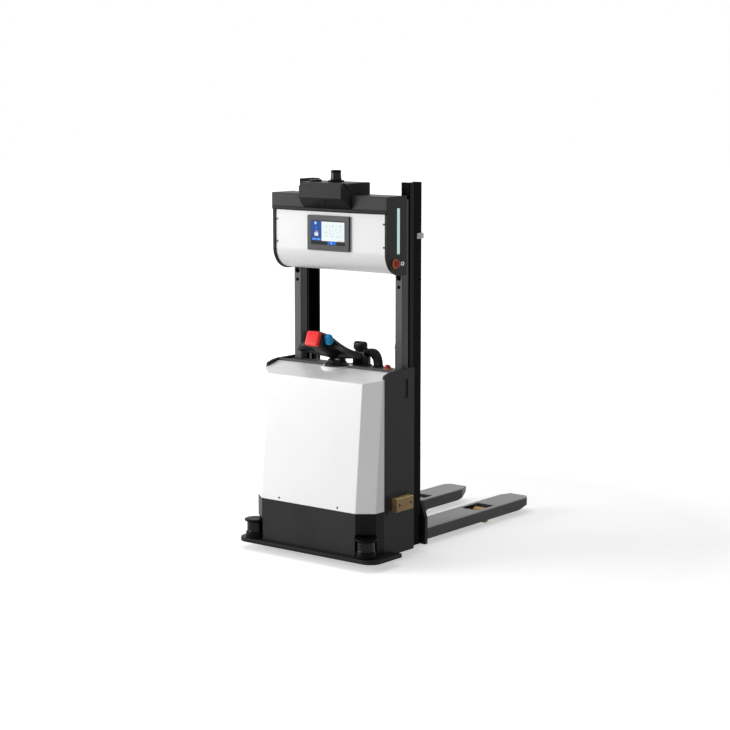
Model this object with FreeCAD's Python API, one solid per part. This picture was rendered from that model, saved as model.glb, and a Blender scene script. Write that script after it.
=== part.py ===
import FreeCAD, Part
import math
import os

# Laser-guided pallet stacker robot.
# Millimetres, +Z up, floor at z = 0, forks point to +Y, the white front cover faces -Y.
# The plan centre of the whole machine is x = 0, y = 0.

os.makedirs("parts", exist_ok=True)
V = FreeCAD.Vector

# ---------------------------------------------------------------- driving dimensions
GAP = 0.3                 # seating gap between neighbouring pieces
RUN = 0.1                 # radial running clearance of pins, shafts and rods

FRONT_Y = -823.0          # front of the bumper plate
TIP_Y = 823.0             # fork tips
BUMPER_REAR = -591.0
BUMPER_Z0, BUMPER_Z1 = 42.0, 62.0

BODY_HALF = 378.0         # outer faces of the body
BUMPER_HALF = BODY_HALF + 63.0
FRAME_HALF = BODY_HALF - 40.0         # outer faces of the frame's side walls
BODY_FRONT = -780.0       # flat front face of the skirt
BODY_FLAT = BODY_HALF - 78.0          # half width of the flat front face
CORNER_Y = 62.5           # depth of the corner chamfer
SKIRT_TOP = 273.0
LEAN = 56.0 / 630.0       # the cover leans back this much per mm of height
SHOULDER_Z = 903.0        # where the cover turns into its top slope
SLOPE = 42.0 / 157.0      # rise of the top slope per mm towards the mast
SPLIT_Y = -651.0          # cover ends and side panels begin
DECK_FRONT = -567.0
DECK_TOP = SHOULDER_Z + 41.0
BOSS_TOP = DECK_TOP + 5.0
RIM_TOP = DECK_TOP + 13.0
PANEL_REAR = -409.0
PAD = 6.0                 # thickness of the charging pad on the right side panel
CONTACT_X = BODY_HALF + 38.0          # outer face of the charging contact
CONTACT_Y, CONTACT_Z = -531.5, 295.5
CONTACT_PITCH = 91.0      # between the two bolts of the contact

POST_X1 = BODY_HALF - 32.0
POST_X0 = POST_X1 - 46.0
POST_Y0, POST_Y1 = -465.0, -415.0
RAIL_X1 = POST_X1 + 3.7
RAIL_X0 = RAIL_X1 - 50.2
RAIL_Y0, RAIL_Y1 = -414.5, -313.5
RAIL_WALL = 12.0
MAST_TOP = 1862.0

FORK_WIDTH = 162.0
FORK_X1 = POST_X0 - 15.0
FORK_X0 = FORK_X1 - FORK_WIDTH
FORK_MID = 0.5 * (FORK_X0 + FORK_X1)
FORK_TOP = 89.0
FORK_BOTTOM = 30.4
FORK_WALL = 8.0
FORK_HEEL = -281.0
LEG_X0, LEG_X1 = FORK_X0 + 16.0, FORK_X1 - 16.0
LEG_Z0, LEG_Z1 = 32.0, 75.0
LEG_CHEEK = 26.0          # thickness of a leg beside its load roller
LOAD_WHEEL_Y = 429.0
LOAD_WHEEL_R = 40.0

DRIVE_Y = -588.0
DRIVE_R = 105.0
NECK_R = 60.0             # neck of the drive yoke in the platform
PLATFORM_Z0, PLATFORM_Z1 = 250.0, 262.0
STEER_RING_R = 84.0
CASTER_X, CASTER_Y = FRAME_HALF - 103.0, -595.0
CASTER_R = 50.0
CASTER_TRAIL = 35.0
SHELF_Z = 150.0

FOOT_Z = 46.0             # underside of the foot beam, posts and rails
BEAM_TOP = 128.0
LIFT_X, LIFT_Y = POST_X0 - 22.0, -396.0
BARREL_R, ROD_R = 20.0, 14.0
BARREL_Z0, BARREL_Z1 = BEAM_TOP + GAP, 1010.0
SHEAVE_X, SHEAVE_Z = LIFT_X - 4.0, BARREL_Z1 + 40.0
SHEAVE_R = 27.0
CARRIAGE_SIDE = RAIL_X0 - 19.5        # inner face of the carriage's side plates
GUIDE_Y = 0.5 * (RAIL_Y0 + RAIL_Y1)
GUIDE_R = 0.5 * (RAIL_Y1 - RAIL_Y0) - RAIL_WALL - GAP
GUIDE_LOW, GUIDE_HIGH = 110.0, 310.0
GUIDE_PIN_R = 10.0
CHAIN_LOW = 200.0         # lower end of the chains on the carriage

SCANNER_X, SCANNER_Y = BODY_HALF - 23.0, BODY_FRONT + 14.0

CHEEK_WALL = 15.4
HEAD_X = POST_X1 + GAP + CHEEK_WALL   # outer faces of the head's cheeks
HEAD_Z0 = 1414.0
HEAD_Z1 = HEAD_Z0 + 387.0
HEAD_CORNER_R = 112.0
SHEET_INSET, SHEET = 6.0, 3.0
CAP_Z0 = HEAD_Z1 - 78.0
CAP_FRONT, CAP_REAR = -615.0, -469.3
CHEEK_FRONT, CHEEK_REAR = -609.0, -453.0
WRAP_FRONT = CHEEK_FRONT + SHEET_INSET
DISPLAY_FRONT = CHEEK_FRONT - 7.0
SCREEN_HALF = 107.0
SCREEN_Z0, SCREEN_Z1 = HEAD_Z0 + 139.0, HEAD_Z0 + 257.0
LIGHT_Y0, LIGHT_Y1 = -531.0, -509.0
LIGHT_Z0, LIGHT_Z1 = HEAD_Z0 + 107.0, HEAD_Z0 + 329.0
NOSE_HALF = 150.0
NOSE_TOP = HEAD_Z1 + 59.0

STOP_HOLE_R = 11.0        # panel hole of an emergency stop
STOP_STEM_R = 8.0
HEAD_STOP_Y, HEAD_STOP_Z = -546.0, HEAD_Z0 + 62.0
DECK_STOP_X, DECK_STOP_Y = BODY_HALF - 72.0, -532.0

COVER_SCREW_X, COVER_SCREW_Z = 187.0, SKIRT_TOP + 15.0

TILLER_Y = -547.0
TILLER_SHAFT_R = 20.0
TILT_Z = BOSS_TOP + 46.0
TILT_PIN_R = 8.0
LUG_X0, LUG_X1 = 24.0, 36.0           # lugs that hold the tilt pin
THROTTLE_Y, THROTTLE_Z = -132.0, 101.0         # from the tilt pin
THROTTLE_PIN_R = 6.0
STEM_X = 30.0             # half width of the belly button's stem
STEM_Z0, STEM_Z1 = 82.5, 127.5        # from the tilt pin
HUB_R = 79.0              # round boss that carries the tiller
PLUG_Y = -441.0
OUTLET_X, OUTLET_RISE = 132.0, 68.0
HOSE_X, HOSE_R = 187.0, 13.0


# ---------------------------------------------------------------- shape helpers
def box(x0, x1, y0, y1, z0, z1):
    return Part.makeBox(x1 - x0, y1 - y0, z1 - z0, V(x0, y0, z0))


def face_of(points):
    return Part.Face(Part.makePolygon(points + [points[0]]))


def prism_x(yz, x0, x1):
    return face_of([V(x0, y, z) for y, z in yz]).extrude(V(x1 - x0, 0, 0))


def prism_y(xz, y0, y1):
    return face_of([V(x, y0, z) for x, z in xz]).extrude(V(0, y1 - y0, 0))


def prism_z(xy, z0, z1):
    return face_of([V(x, y, z0) for x, y in xy]).extrude(V(0, 0, z1 - z0))


def cyl_x(x0, x1, y, z, r):
    return Part.makeCylinder(r, x1 - x0, V(x0, y, z), V(1, 0, 0))


def cyl_y(x, y0, y1, z, r):
    return Part.makeCylinder(r, y1 - y0, V(x, y0, z), V(0, 1, 0))


def cyl_z(x, y, z0, z1, r):
    return Part.makeCylinder(r, z1 - z0, V(x, y, z0), V(0, 0, 1))


def turned(x, y, rz):
    """Solid of revolution about the vertical through (x, y), from (radius, height) points."""
    pts = [V(r, 0, z) for r, z in rz]
    solid = face_of(pts).revolve(V(0, 0, 0), V(0, 0, 1), 360)
    solid.translate(V(x, y, 0))
    return solid


def turned_x(y, z, rx):
    """Solid of revolution about an X axis through (y, z), from (radius, x) points."""
    pts = [V(x, r, 0) for r, x in rx]
    solid = face_of(pts).revolve(V(0, 0, 0), V(1, 0, 0), 360)
    solid.translate(V(0, y, z))
    return solid


def join(first, *others):
    return first.fuse(list(others)).removeSplitter()


def cut(first, *others):
    return first.cut(list(others))


def mirrored(shape):
    return shape.mirror(V(0, 0, 0), V(1, 0, 0))


def pair(shape):
    return [shape, mirrored(shape)]


def round_edges(shape, radius, wanted):
    edges = [e for e in shape.Edges if wanted(e)]
    return shape.makeFillet(radius, edges) if edges else shape


def along(edge, axis):
    a, b = edge.Vertexes[0].Point, edge.Vertexes[-1].Point
    d = b - a
    others = [c for i, c in enumerate((d.x, d.y, d.z)) if i != axis]
    return d.Length > 0.5 and max(abs(c) for c in others) < 0.001


def tube(points, radius, sides=0):
    """Bar of straight runs joined by tangent arcs: round, or with a number of flat sides."""
    pts = [V(*p) for p in points]
    edges = []
    last = pts[0]
    for a, b, c in zip(pts[:-2], pts[1:-1], pts[2:]):
        back, ahead = (a - b).normalize(), (c - b).normalize()
        half = 0.5 * (math.pi - back.getAngle(ahead))
        reach = 0.45 * min((a - b).Length, (c - b).Length)
        bend = reach / math.tan(half)
        middle = (back + ahead).normalize()
        top = b + middle * (bend / math.cos(half) - bend)
        start, end = b + back * reach, b + ahead * reach
        edges.append(Part.LineSegment(last, start).toShape())
        edges.append(Part.Arc(start, top, end).toShape())
        last = end
    edges.append(Part.LineSegment(last, pts[-1]).toShape())
    rim = Part.makeCircle(radius, pts[0], pts[1] - pts[0])
    if sides:
        rim = Part.makePolygon(rim.discretize(sides + 1))
    return Part.Wire(edges).makePipe(Part.Face(Part.Wire(rim)))


def save(name, shape):
    if isinstance(shape, list):
        shape = Part.makeCompound(shape)
    elif len(shape.Solids) == 1:
        shape = shape.Solids[0]
    shape.exportStep("parts/" + name + ".step")
    bb = shape.optimalBoundingBox(True)
    print("%-22s solids %d valid %s  x %.1f %.1f  y %.1f %.1f  z %.1f %.1f" % (
        name, len(shape.Solids), shape.isValid(),
        bb.XMin, bb.XMax, bb.YMin, bb.YMax, bb.ZMin, bb.ZMax))


# ---------------------------------------------------------------- chassis
def base_frame():
    """Welded frame: platform, walls, rear wall, foot beam and the two support legs."""
    wall = 8.0
    inner = FRAME_HALF
    flat = BODY_FLAT - 10
    y0, y1 = BODY_FRONT + 20, POST_Y0 - GAP
    plate = prism_z([(-flat, y0), (flat, y0), (inner, y0 + 60), (inner, y1),
                     (-inner, y1), (-inner, y0 + 60)], PLATFORM_Z0, PLATFORM_Z1)
    plate = cut(plate, cyl_z(0, DRIVE_Y, PLATFORM_Z0 - 1, PLATFORM_Z1 + 1, NECK_R + GAP))
    front = box(2 - flat, flat - 2, y0, y0 + wall, BUMPER_Z1 + GAP, PLATFORM_Z0 + 1)
    foot = box(2 - flat, flat - 2, y0, y0 + 32, BUMPER_Z1 + GAP, BUMPER_Z1 + wall)
    rear = box(-inner, inner, y1 - wall, y1, FOOT_Z, DECK_TOP - 6 - GAP)
    rear = cut(rear, cyl_z(0, TILLER_Y, DECK_TOP - 44, DECK_TOP + 6, HUB_R + GAP))
    half = POST_X0 - 1
    beam = cut(box(-half, half, -412, -376, FOOT_Z, BEAM_TOP),
               box(-half - 1, half + 1, -406, -382, FOOT_Z + 6, BEAM_TOP - 6))
    link = box(4 - LEG_X0, LEG_X0 - 4, y1 - 1, -411, FOOT_Z, FOOT_Z + wall)
    pieces = [front, foot, rear, beam, link]
    pieces += pair(box(inner - wall, inner, -690, y1 - wall + 1, BUMPER_Z1 + GAP,
                       PLATFORM_Z0 + 1))
    bay = CASTER_X - 75
    pieces += pair(box(bay, inner - wall + 1, -690, -500, SHELF_Z, SHELF_Z + wall))
    pieces += pair(box(bay, bay + 6, -690, -500, SHELF_Z, PLATFORM_Z0 + 1))
    leg = box(LEG_X0, LEG_X1, -473, 372, LEG_Z0, LEG_Z1)
    leg = cut(leg, box(LEG_X0 + 6, LEG_X1 - 6, -480, 360, LEG_Z0 - 1, LEG_Z1 - 6))
    cheek = prism_x([(355, LEG_Z0), (355, LEG_Z1), (455, LEG_Z1), (478, 55), (478, 28),
                     (380, 28)], LEG_X0, LEG_X0 + LEG_CHEEK)
    other = cheek.copy()
    other.translate(V(LEG_X1 - LEG_X0 - LEG_CHEEK, 0, 0))
    leg = join(leg, cheek, other)
    leg = cut(leg, cyl_x(LEG_X0 - 1, LEG_X1 + 1, LOAD_WHEEL_Y, LOAD_WHEEL_R, 10 + RUN))
    pieces += pair(leg)
    return join(plate, *pieces)


def bumper_plate():
    """Thick floor-level plate that guards the front and both front corners."""
    r = 65.0
    b = BUMPER_HALF
    plate = box(-b, b, FRONT_Y, BUMPER_REAR, BUMPER_Z0, BUMPER_Z1)
    plate = round_edges(plate, r, lambda e: along(e, 2) and e.BoundBox.YMax < FRONT_Y + 1)
    half = BODY_HALF - 33
    opening = box(-half, half, -702, BUMPER_REAR + 1, BUMPER_Z0 - 1, BUMPER_Z1 + 1)
    opening = round_edges(opening, 20, lambda e: along(e, 2) and e.BoundBox.YMax < -701)
    plate = cut(plate, opening)
    return round_edges(plate, 3, lambda e: e.BoundBox.ZMin > BUMPER_Z1 - 0.1
                       and (e.CenterOfMass.y < FRONT_Y + 40 or abs(e.CenterOfMass.x) > b - 1))


def skirt_outline(t, rear):
    h, f, c = BODY_HALF - t, BODY_FLAT - 0.351 * t, BODY_FRONT + t
    corner = BODY_FRONT + CORNER_Y + 0.48 * t
    return [(-h, rear), (-h, corner), (-f, c), (f, c), (h, corner), (h, rear)]


def lower_skirt():
    """Black lower body shell with a round pocket at each front corner for a scanner."""
    z0, z1 = BUMPER_Z1 + GAP, SKIRT_TOP - GAP
    outer = prism_z(skirt_outline(0, SPLIT_Y), z0, z1)
    shell = cut(outer, prism_z(skirt_outline(4, SPLIT_Y + 1), z0 - 1, z1 + 1))
    lip = cut(prism_z(skirt_outline(4, SPLIT_Y), z1 - 4, z1),
              prism_z(skirt_outline(16, SPLIT_Y + 1), z1 - 5, z1 + 1))
    shell = join(shell, lip)
    for sx in (-SCANNER_X, SCANNER_X):
        void = cyl_z(sx, SCANNER_Y, z0 - 1, 168, 60)
        wall = cut(cyl_z(sx, SCANNER_Y, z0, 171, 63), void).common(outer)
        shell = join(cut(shell, void), wall)
    return shell


def cover_block(t, z0, rear):
    """Front body with every face moved in by t; its front and corners lean back."""
    y = BODY_FRONT + LEAN * (z0 - SKIRT_TOP) + t
    h, f = BODY_HALF - t, BODY_FLAT - 0.351 * t
    corner = y + CORNER_Y - 0.52 * t
    rise = 700.0
    outline = [V(-h, -400, z0), V(-h, corner, z0), V(-f, y, z0), V(f, y, z0),
               V(h, corner, z0), V(h, -400, z0)]
    leaning = face_of(outline).extrude(V(0, LEAN * rise, rise))
    return leaning.common(box(-500, 500, -900, rear, z0, z0 + rise))


def slope_z(y):
    shoulder_y = BODY_FRONT + LEAN * (SHOULDER_Z - SKIRT_TOP)
    return SHOULDER_Z + SLOPE * (y - shoulder_y)


def above_slope(t):
    return prism_x([(-900, slope_z(-900) - t), (0, slope_z(0) - t), (0, 1400), (-900, 1400)],
                   -500, 500)


def front_cover():
    """White moulded cover: leaning front, chamfered corners, sloped top and tiller boss."""
    wall = 4.0
    body = cut(cover_block(0, SKIRT_TOP, SPLIT_Y), above_slope(0))
    hollow = cut(cover_block(wall, SKIRT_TOP - 5, SPLIT_Y + 5), above_slope(wall))
    cover = cut(body, hollow)
    half = BODY_HALF - 12 - GAP
    apron = prism_x([(SPLIT_Y - 6, slope_z(SPLIT_Y - 6)), (DECK_FRONT, slope_z(DECK_FRONT)),
                     (DECK_FRONT, slope_z(DECK_FRONT) - wall),
                     (SPLIT_Y - 6, slope_z(SPLIT_Y - 6) - wall)], -half, half)
    low = BOSS_TOP - 44
    boss = cut(cyl_z(0, TILLER_Y, low, BOSS_TOP, HUB_R),
               cyl_z(0, TILLER_Y, low - 1, BOSS_TOP - 6, HUB_R - wall))
    below = prism_x([(-700, low - 25), (-700, slope_z(-700) - wall),
                     (DECK_FRONT, slope_z(DECK_FRONT) - wall),
                     (-400, slope_z(DECK_FRONT) - wall), (-400, low - 25)], -100, 100)
    cover = join(cover, apron, cut(boss, below))
    cover = cut(cover, cyl_z(0, TILLER_Y, low - 5, BOSS_TOP + 11, TILLER_SHAFT_R + RUN))
    for hole in pair(cyl_y(COVER_SCREW_X, BODY_FRONT - 10, BODY_FRONT + 20, COVER_SCREW_Z,
                           5 + GAP)):
        cover = cut(cover, hole)
    shoulder_y = BODY_FRONT + LEAN * (SHOULDER_Z - SKIRT_TOP)
    return round_edges(cover, 6, lambda e: along(e, 0) and e.Length > 590
                       and abs(e.CenterOfMass.z - SHOULDER_Z) < 0.5
                       and abs(e.CenterOfMass.y - shoulder_y) < 0.5)


def side_panel(charging):
    """Black side panel: pan with folded edges, a hand recess and a rib on the post."""
    low = BUMPER_Z0 + 1
    edge = [(SPLIT_Y + GAP, BUMPER_Z1 + GAP), (SPLIT_Y + GAP, RIM_TOP - 29),
            (SPLIT_Y + 6, RIM_TOP - 16), (SPLIT_Y + 44, RIM_TOP - 5), (DECK_FRONT, RIM_TOP),
            (PANEL_REAR, RIM_TOP), (PANEL_REAR, low), (BUMPER_REAR + GAP, low),
            (BUMPER_REAR + GAP, BUMPER_Z1 + GAP)]
    x0, x1 = BODY_HALF - 12, BODY_HALF
    middle = RIM_TOP - 167
    pan = prism_x(edge, x0, x1)
    pan = cut(pan, box(x0 - 1, x1 - 4, SPLIT_Y + 8, PANEL_REAR - 8, low + 12, middle),
              box(x0 - 1, x1 - 4, SPLIT_Y + 8, -510, middle - 10, RIM_TOP - 42))
    slot = box(x1 - 6, x1 + 1, -494, -461, RIM_TOP - 145, RIM_TOP - 51)
    slot = round_edges(slot, 8, lambda e: along(e, 0))
    rib = box(POST_X1 + GAP, x1 - 3, -460, -436, 120, middle)
    panel = join(cut(pan, slot), rib)
    if charging:
        pad = box(x1 - 1, x1 + PAD, CONTACT_Y - 98.5, CONTACT_Y + 81.5, CONTACT_Z - 45.5,
                  CONTACT_Z + 45.5)
        panel = join(panel, round_edges(pad, 8, lambda e: along(e, 0)))
    return panel


def top_deck():
    """Black tray behind the sloped cover, notched for the posts and the lift cylinders."""
    half = BODY_HALF - 12 - GAP
    floor = box(-half, half, DECK_FRONT + GAP, POST_Y1, DECK_TOP - 6, DECK_TOP)
    rim = box(-half, half, DECK_FRONT + GAP, DECK_FRONT + 7, DECK_TOP - 14, RIM_TOP)
    deck = join(floor, rim)
    z0, z1 = DECK_TOP - 44, DECK_TOP + 16
    deck = cut(deck, cyl_z(0, TILLER_Y, z0, z1, HUB_R + GAP))
    for notch in pair(box(POST_X0 - GAP, POST_X1 + GAP, POST_Y0 - GAP, -400, z0, z1)):
        deck = cut(deck, notch)
    for notch in pair(box(LIFT_X - 24, POST_X1 + GAP, -431, -400, z0, z1)):
        deck = cut(deck, notch)
    return cut(deck, cyl_z(HOSE_X, PLUG_Y, z0, z1, HOSE_R + 2.5),
               cyl_z(DECK_STOP_X, DECK_STOP_Y, z0, z1, STOP_HOLE_R + GAP))


def mast_rail():
    """Channel that opens towards the middle of the machine."""
    rail = box(RAIL_X0, RAIL_X1, RAIL_Y0, RAIL_Y1, FOOT_Z, MAST_TOP)
    rail = round_edges(rail, 4, lambda e: along(e, 2) and e.CenterOfMass.x > RAIL_X1 - 1)
    inside = box(RAIL_X0 - 1, RAIL_X1 - RAIL_WALL, RAIL_Y0 + RAIL_WALL,
                 RAIL_Y1 - RAIL_WALL, 40, MAST_TOP + 5)
    return cut(rail, inside)


def head_frame():
    """Inverted-U frame that carries the head: two box tubes and two cross ties."""
    top = HEAD_Z1 - 21
    post = box(POST_X0, POST_X1, POST_Y0, POST_Y1, FOOT_Z, top)
    post = round_edges(post, 5, lambda e: along(e, 2))
    post = cut(post, box(POST_X0 + 4, POST_X1 - 4, POST_Y0 + 4, POST_Y1 - 4, FOOT_Z - 6,
                         top + 10))
    mid = 0.5 * (POST_X0 + POST_X1)
    post = cut(post, cyl_y(mid, POST_Y0 - 1, POST_Y0 + 6, HEAD_Z0 - 15, 14),
               cyl_y(mid, POST_Y0 - 1, POST_Y0 + 6, HEAD_Z0 - 61, 9))
    half = POST_X0 + 1
    ties = [box(-half, half, -452, -440, z, z + 50) for z in (HEAD_Z0 + 86, top - 50)]
    return join(post, mirrored(post), *ties)


# ---------------------------------------------------------------- lift
def lift_barrel():
    barrel = cyl_z(LIFT_X, LIFT_Y, BARREL_Z0, BARREL_Z1, BARREL_R)
    bore = cyl_z(LIFT_X, LIFT_Y, BARREL_Z0 + 20, BARREL_Z1 + 1, ROD_R + RUN)
    lug = box(SHEAVE_X - 6, SHEAVE_X + 6, -431, LIFT_Y - 16, 400, 420)
    gland = cyl_z(LIFT_X, LIFT_Y, BARREL_Z1 - 40, BARREL_Z1 - 10, BARREL_R + 1)
    return cut(join(barrel, lug, gland), bore)


def lift_rod():
    """Rod with a clevis and pin that carry the chain sheave."""
    rod = cyl_z(LIFT_X, LIFT_Y, 200, BARREL_Z1 + 4, ROD_R)
    block = box(SHEAVE_X - 12, SHEAVE_X + 14, LIFT_Y - 15, LIFT_Y + 15, BARREL_Z1 + 2,
                BARREL_Z1 + 8)
    inner = prism_x([(LIFT_Y - 15, BARREL_Z1 + 6), (LIFT_Y - 15, SHEAVE_Z + 8),
                     (LIFT_Y - 8, SHEAVE_Z + 15), (LIFT_Y + 8, SHEAVE_Z + 15),
                     (LIFT_Y + 15, SHEAVE_Z + 8), (LIFT_Y + 15, BARREL_Z1 + 6)],
                    SHEAVE_X - 12, SHEAVE_X - 7)
    outer = inner.copy()
    outer.translate(V(20, 0, 0))
    pin = cyl_x(SHEAVE_X - 9, SHEAVE_X + 15, LIFT_Y, SHEAVE_Z, 6)
    return join(rod, block, inner, outer, pin)


def chain_sheave():
    r = SHEAVE_R
    wheel = [(6 + RUN, -5.5), (r + 3.5, -5.5), (r + 3.5, -4), (r - 2, -3.6), (r - 2, 3.6),
             (r + 3.5, 4), (r + 3.5, 5.5), (6 + RUN, 5.5)]
    return turned_x(LIFT_Y, SHEAVE_Z, [(a, SHEAVE_X + x) for a, x in wheel])


def chain_run(y, z0, z1):
    """Leaf chain run: alternating wide and narrow links."""
    links = box(SHEAVE_X - 3, SHEAVE_X + 3, y - 1.5, y + 1.5, z0, z1)
    pitch = 30.0
    count = int((z1 - z0) / pitch)
    plates = []
    for i in range(count):
        z = z0 + i * pitch + 3
        plates.append(box(SHEAVE_X - 3.4, SHEAVE_X + 3.4, y - 3, y + 3, z, z + pitch - 6))
    return join(links, *plates)


def chain_wrap():
    """Half turn of chain lying in the groove of the sheave."""
    ring = cut(cyl_x(SHEAVE_X - 3, SHEAVE_X + 3, LIFT_Y, SHEAVE_Z, SHEAVE_R + 3),
               cyl_x(SHEAVE_X - 4, SHEAVE_X + 4, LIFT_Y, SHEAVE_Z, SHEAVE_R - 1.5))
    return ring.common(box(SHEAVE_X - 5, SHEAVE_X + 5, LIFT_Y - 50, LIFT_Y + 50,
                           SHEAVE_Z + GAP, SHEAVE_Z + 50))


def lift_carriage():
    """Cross plate behind the mast with two side plates and four stub axles."""
    w = BODY_HALF - 8
    plate = prism_y([(-w, 41), (w, 41), (w, 175), (w - 30, 260), (30 - w, 260), (-w, 175)],
                    FORK_HEEL - 22, FORK_HEEL)
    for notch in pair(box(LEG_X0 - 6, LEG_X1 + 6, FORK_HEEL - 30, FORK_HEEL + 5, 30,
                          LEG_Z1 + 7)):
        plate = cut(plate, notch)
    x = CARRIAGE_SIDE
    side = prism_x([(GUIDE_Y - 10, 70), (GUIDE_Y - 10, GUIDE_HIGH + 40),
                    (GUIDE_Y + 34, GUIDE_HIGH + 40), (FORK_HEEL - 21, 255),
                    (FORK_HEEL - 21, 70)], x, x + 12)
    for z in (GUIDE_LOW, GUIDE_HIGH):
        side = join(side, cyl_x(x + 5, RAIL_X0 + 33.5, GUIDE_Y, z, GUIDE_PIN_R))
    side = join(side, box(SHEAVE_X - 3, x + 1, -375, -361, 180, CHAIN_LOW))
    bar = box(-x - 1, x + 1, -330, -320, 200, 250)
    return join(plate, bar, *pair(side))


def guide_roller(z):
    x0, x1 = RAIL_X0 + 4.5, RAIL_X0 + 32.5
    bore = GUIDE_PIN_R + RUN
    rx = [(bore, x0), (GUIDE_R - 2, x0), (GUIDE_R, x0 + 2), (GUIDE_R, x1 - 2),
          (GUIDE_R - 2, x1), (bore, x1)]
    return turned_x(GUIDE_Y, z, rx)


def fork():
    """Pressed fork: upside-down trough that straddles its support leg, closed at the tip."""
    x0, x1 = FORK_X0, FORK_X1
    outline = [(x0, FORK_HEEL + GAP), (x0, TIP_Y - 100), (x0 + 29, TIP_Y - 27),
               (x0 + 37, TIP_Y - 13), (x0 + 51, TIP_Y), (x1 - 55, TIP_Y),
               (x1 - 45, TIP_Y - 5), (x1 - 35, TIP_Y - 17), (x1, TIP_Y - 64),
               (x1, FORK_HEEL + GAP)]
    solid = prism_z(outline, FORK_BOTTOM, FORK_TOP)
    c = 4.0
    profile = [(x0, FORK_BOTTOM), (x0, FORK_TOP - c), (x0 + c, FORK_TOP), (x1 - c, FORK_TOP),
               (x1, FORK_TOP - c), (x1, FORK_BOTTOM)]
    solid = solid.common(prism_y(profile, FORK_HEEL, TIP_Y + 1))
    ramp = prism_x([(TIP_Y - 183, FORK_BOTTOM - 1), (TIP_Y - 133, FORK_BOTTOM + 1),
                    (TIP_Y + 1, 64), (TIP_Y + 1, 0), (TIP_Y - 183, 0)], x0 - 1, x1 + 1)
    nose = prism_x([(TIP_Y - 30, FORK_TOP + 1), (TIP_Y + 1, 78), (TIP_Y + 1, FORK_TOP + 1)],
                   x0 - 1, x1 + 1)
    trough = box(x0 + FORK_WALL, x1 - FORK_WALL, FORK_HEEL - 1, TIP_Y - 123,
                 FORK_BOTTOM - 1, FORK_TOP - FORK_WALL)
    window = box(FORK_MID - 54, FORK_MID + 54, LOAD_WHEEL_Y - 105, LOAD_WHEEL_Y + 50,
                 FORK_TOP - 20, FORK_TOP + 1)
    window = round_edges(window, 12, lambda e: along(e, 2))
    return cut(solid, ramp, nose, trough, window)


def load_roller():
    """Polyurethane load roller with its own axle ends."""
    end = 0.5 * (LEG_X1 - LEG_X0) - 2
    half = end - LEG_CHEEK - 1
    r = LOAD_WHEEL_R
    rx = [(0, -end), (10, -end), (10, -half), (r - 3, -half), (r, 3 - half), (r, half - 3),
          (r - 3, half), (10, half), (10, end), (0, end)]
    return turned_x(LOAD_WHEEL_Y, r, [(a, FORK_MID + x) for a, x in rx])


# ---------------------------------------------------------------- running gear
def drive_yoke():
    """Steered yoke: neck through the platform, bearing ring on top, two legs below."""
    neck = cyl_z(0, DRIVE_Y, 222, 300, NECK_R)
    ring = cyl_z(0, DRIVE_Y, PLATFORM_Z1 + GAP, 276, STEER_RING_R)
    disc = cyl_z(0, DRIVE_Y, 214, 226, 92)
    leg = prism_x([(DRIVE_Y - 55, 215), (DRIVE_Y - 24, 90), (DRIVE_Y + 24, 90),
                   (DRIVE_Y + 55, 215)], 40, 52)
    yoke = join(neck, ring, disc, *pair(leg))
    yoke = cut(yoke, cyl_x(-60, 60, DRIVE_Y, DRIVE_R, 12 + RUN))
    for i in range(6):
        bolt = cyl_z(STEER_RING_R - 12, 0, 272, 280, 4)
        bolt.rotate(V(0, 0, 0), V(0, 0, 1), i * 60)
        bolt.translate(V(0, DRIVE_Y, 0))
        yoke = cut(yoke, bolt)
    return yoke


def drive_wheel():
    r = DRIVE_R
    rx = [(0, -52), (12, -52), (12, -30), (62, -26), (70, -35), (r - 4, -35), (r, -31),
          (r, 31), (r - 4, 35), (70, 35), (62, 26), (12, 30), (12, 52), (0, 52)]
    return turned_x(DRIVE_Y, r, rx)


def drive_motor():
    """Traction motor standing on the yoke."""
    rz = [(0, 300 + GAP), (70, 300 + GAP), (70, 314), (64, 318), (64, 452), (58, 460),
          (0, 460)]
    motor = turned(0, DRIVE_Y, rz)
    return join(motor, box(20, 74, DRIVE_Y - 18, DRIVE_Y + 18, 350, 420))


def steer_motor():
    """Steering gearmotor that stands on the platform beside the bearing ring."""
    reach = STEER_RING_R + GAP + 28
    x = reach * math.cos(math.radians(40))
    y = DRIVE_Y - reach * math.sin(math.radians(40))
    z = PLATFORM_Z1 + GAP
    body = turned(x, y, [(0, z), (28, z), (28, 404), (22, 412), (0, 412)])
    return join(body, box(x + 10, x + 44, y - 44, y + 10, z, z + 10),
                cyl_z(x, y, 330, 336, 32))


def caster_fork():
    x, y = CASTER_X, CASTER_Y
    top = SHELF_Z - GAP
    disc = join(cyl_z(x, y, top - 8, top, 38), cyl_z(x, y, top - 22, top - 7, 24))
    side = prism_x([(y - 18, top - 12), (y + 18, top - 12), (y + CASTER_TRAIL + 12, 50),
                    (y + CASTER_TRAIL, 38), (y + CASTER_TRAIL - 12, 50)], x + 19, x + 24)
    twin = side.copy()
    twin.translate(V(-43, 0, 0))
    bridge = box(x - 24, x + 24, y - 18, y + 12, top - 24, top - 12)
    pin = cyl_x(x - 26, x + 26, y + CASTER_TRAIL, CASTER_R, 6)
    return join(disc, side, twin, bridge, pin)


def caster_wheel():
    r = CASTER_R
    rx = [(6 + RUN, -17), (14, -17), (r - 14, -12), (r - 10, -16), (r - 2, -16), (r, -12),
          (r, 12), (r - 2, 16), (r - 10, 16), (r - 14, 12), (14, 17), (6 + RUN, 17)]
    return turned_x(CASTER_Y + CASTER_TRAIL, r, [(a, CASTER_X + x) for a, x in rx])


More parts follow.
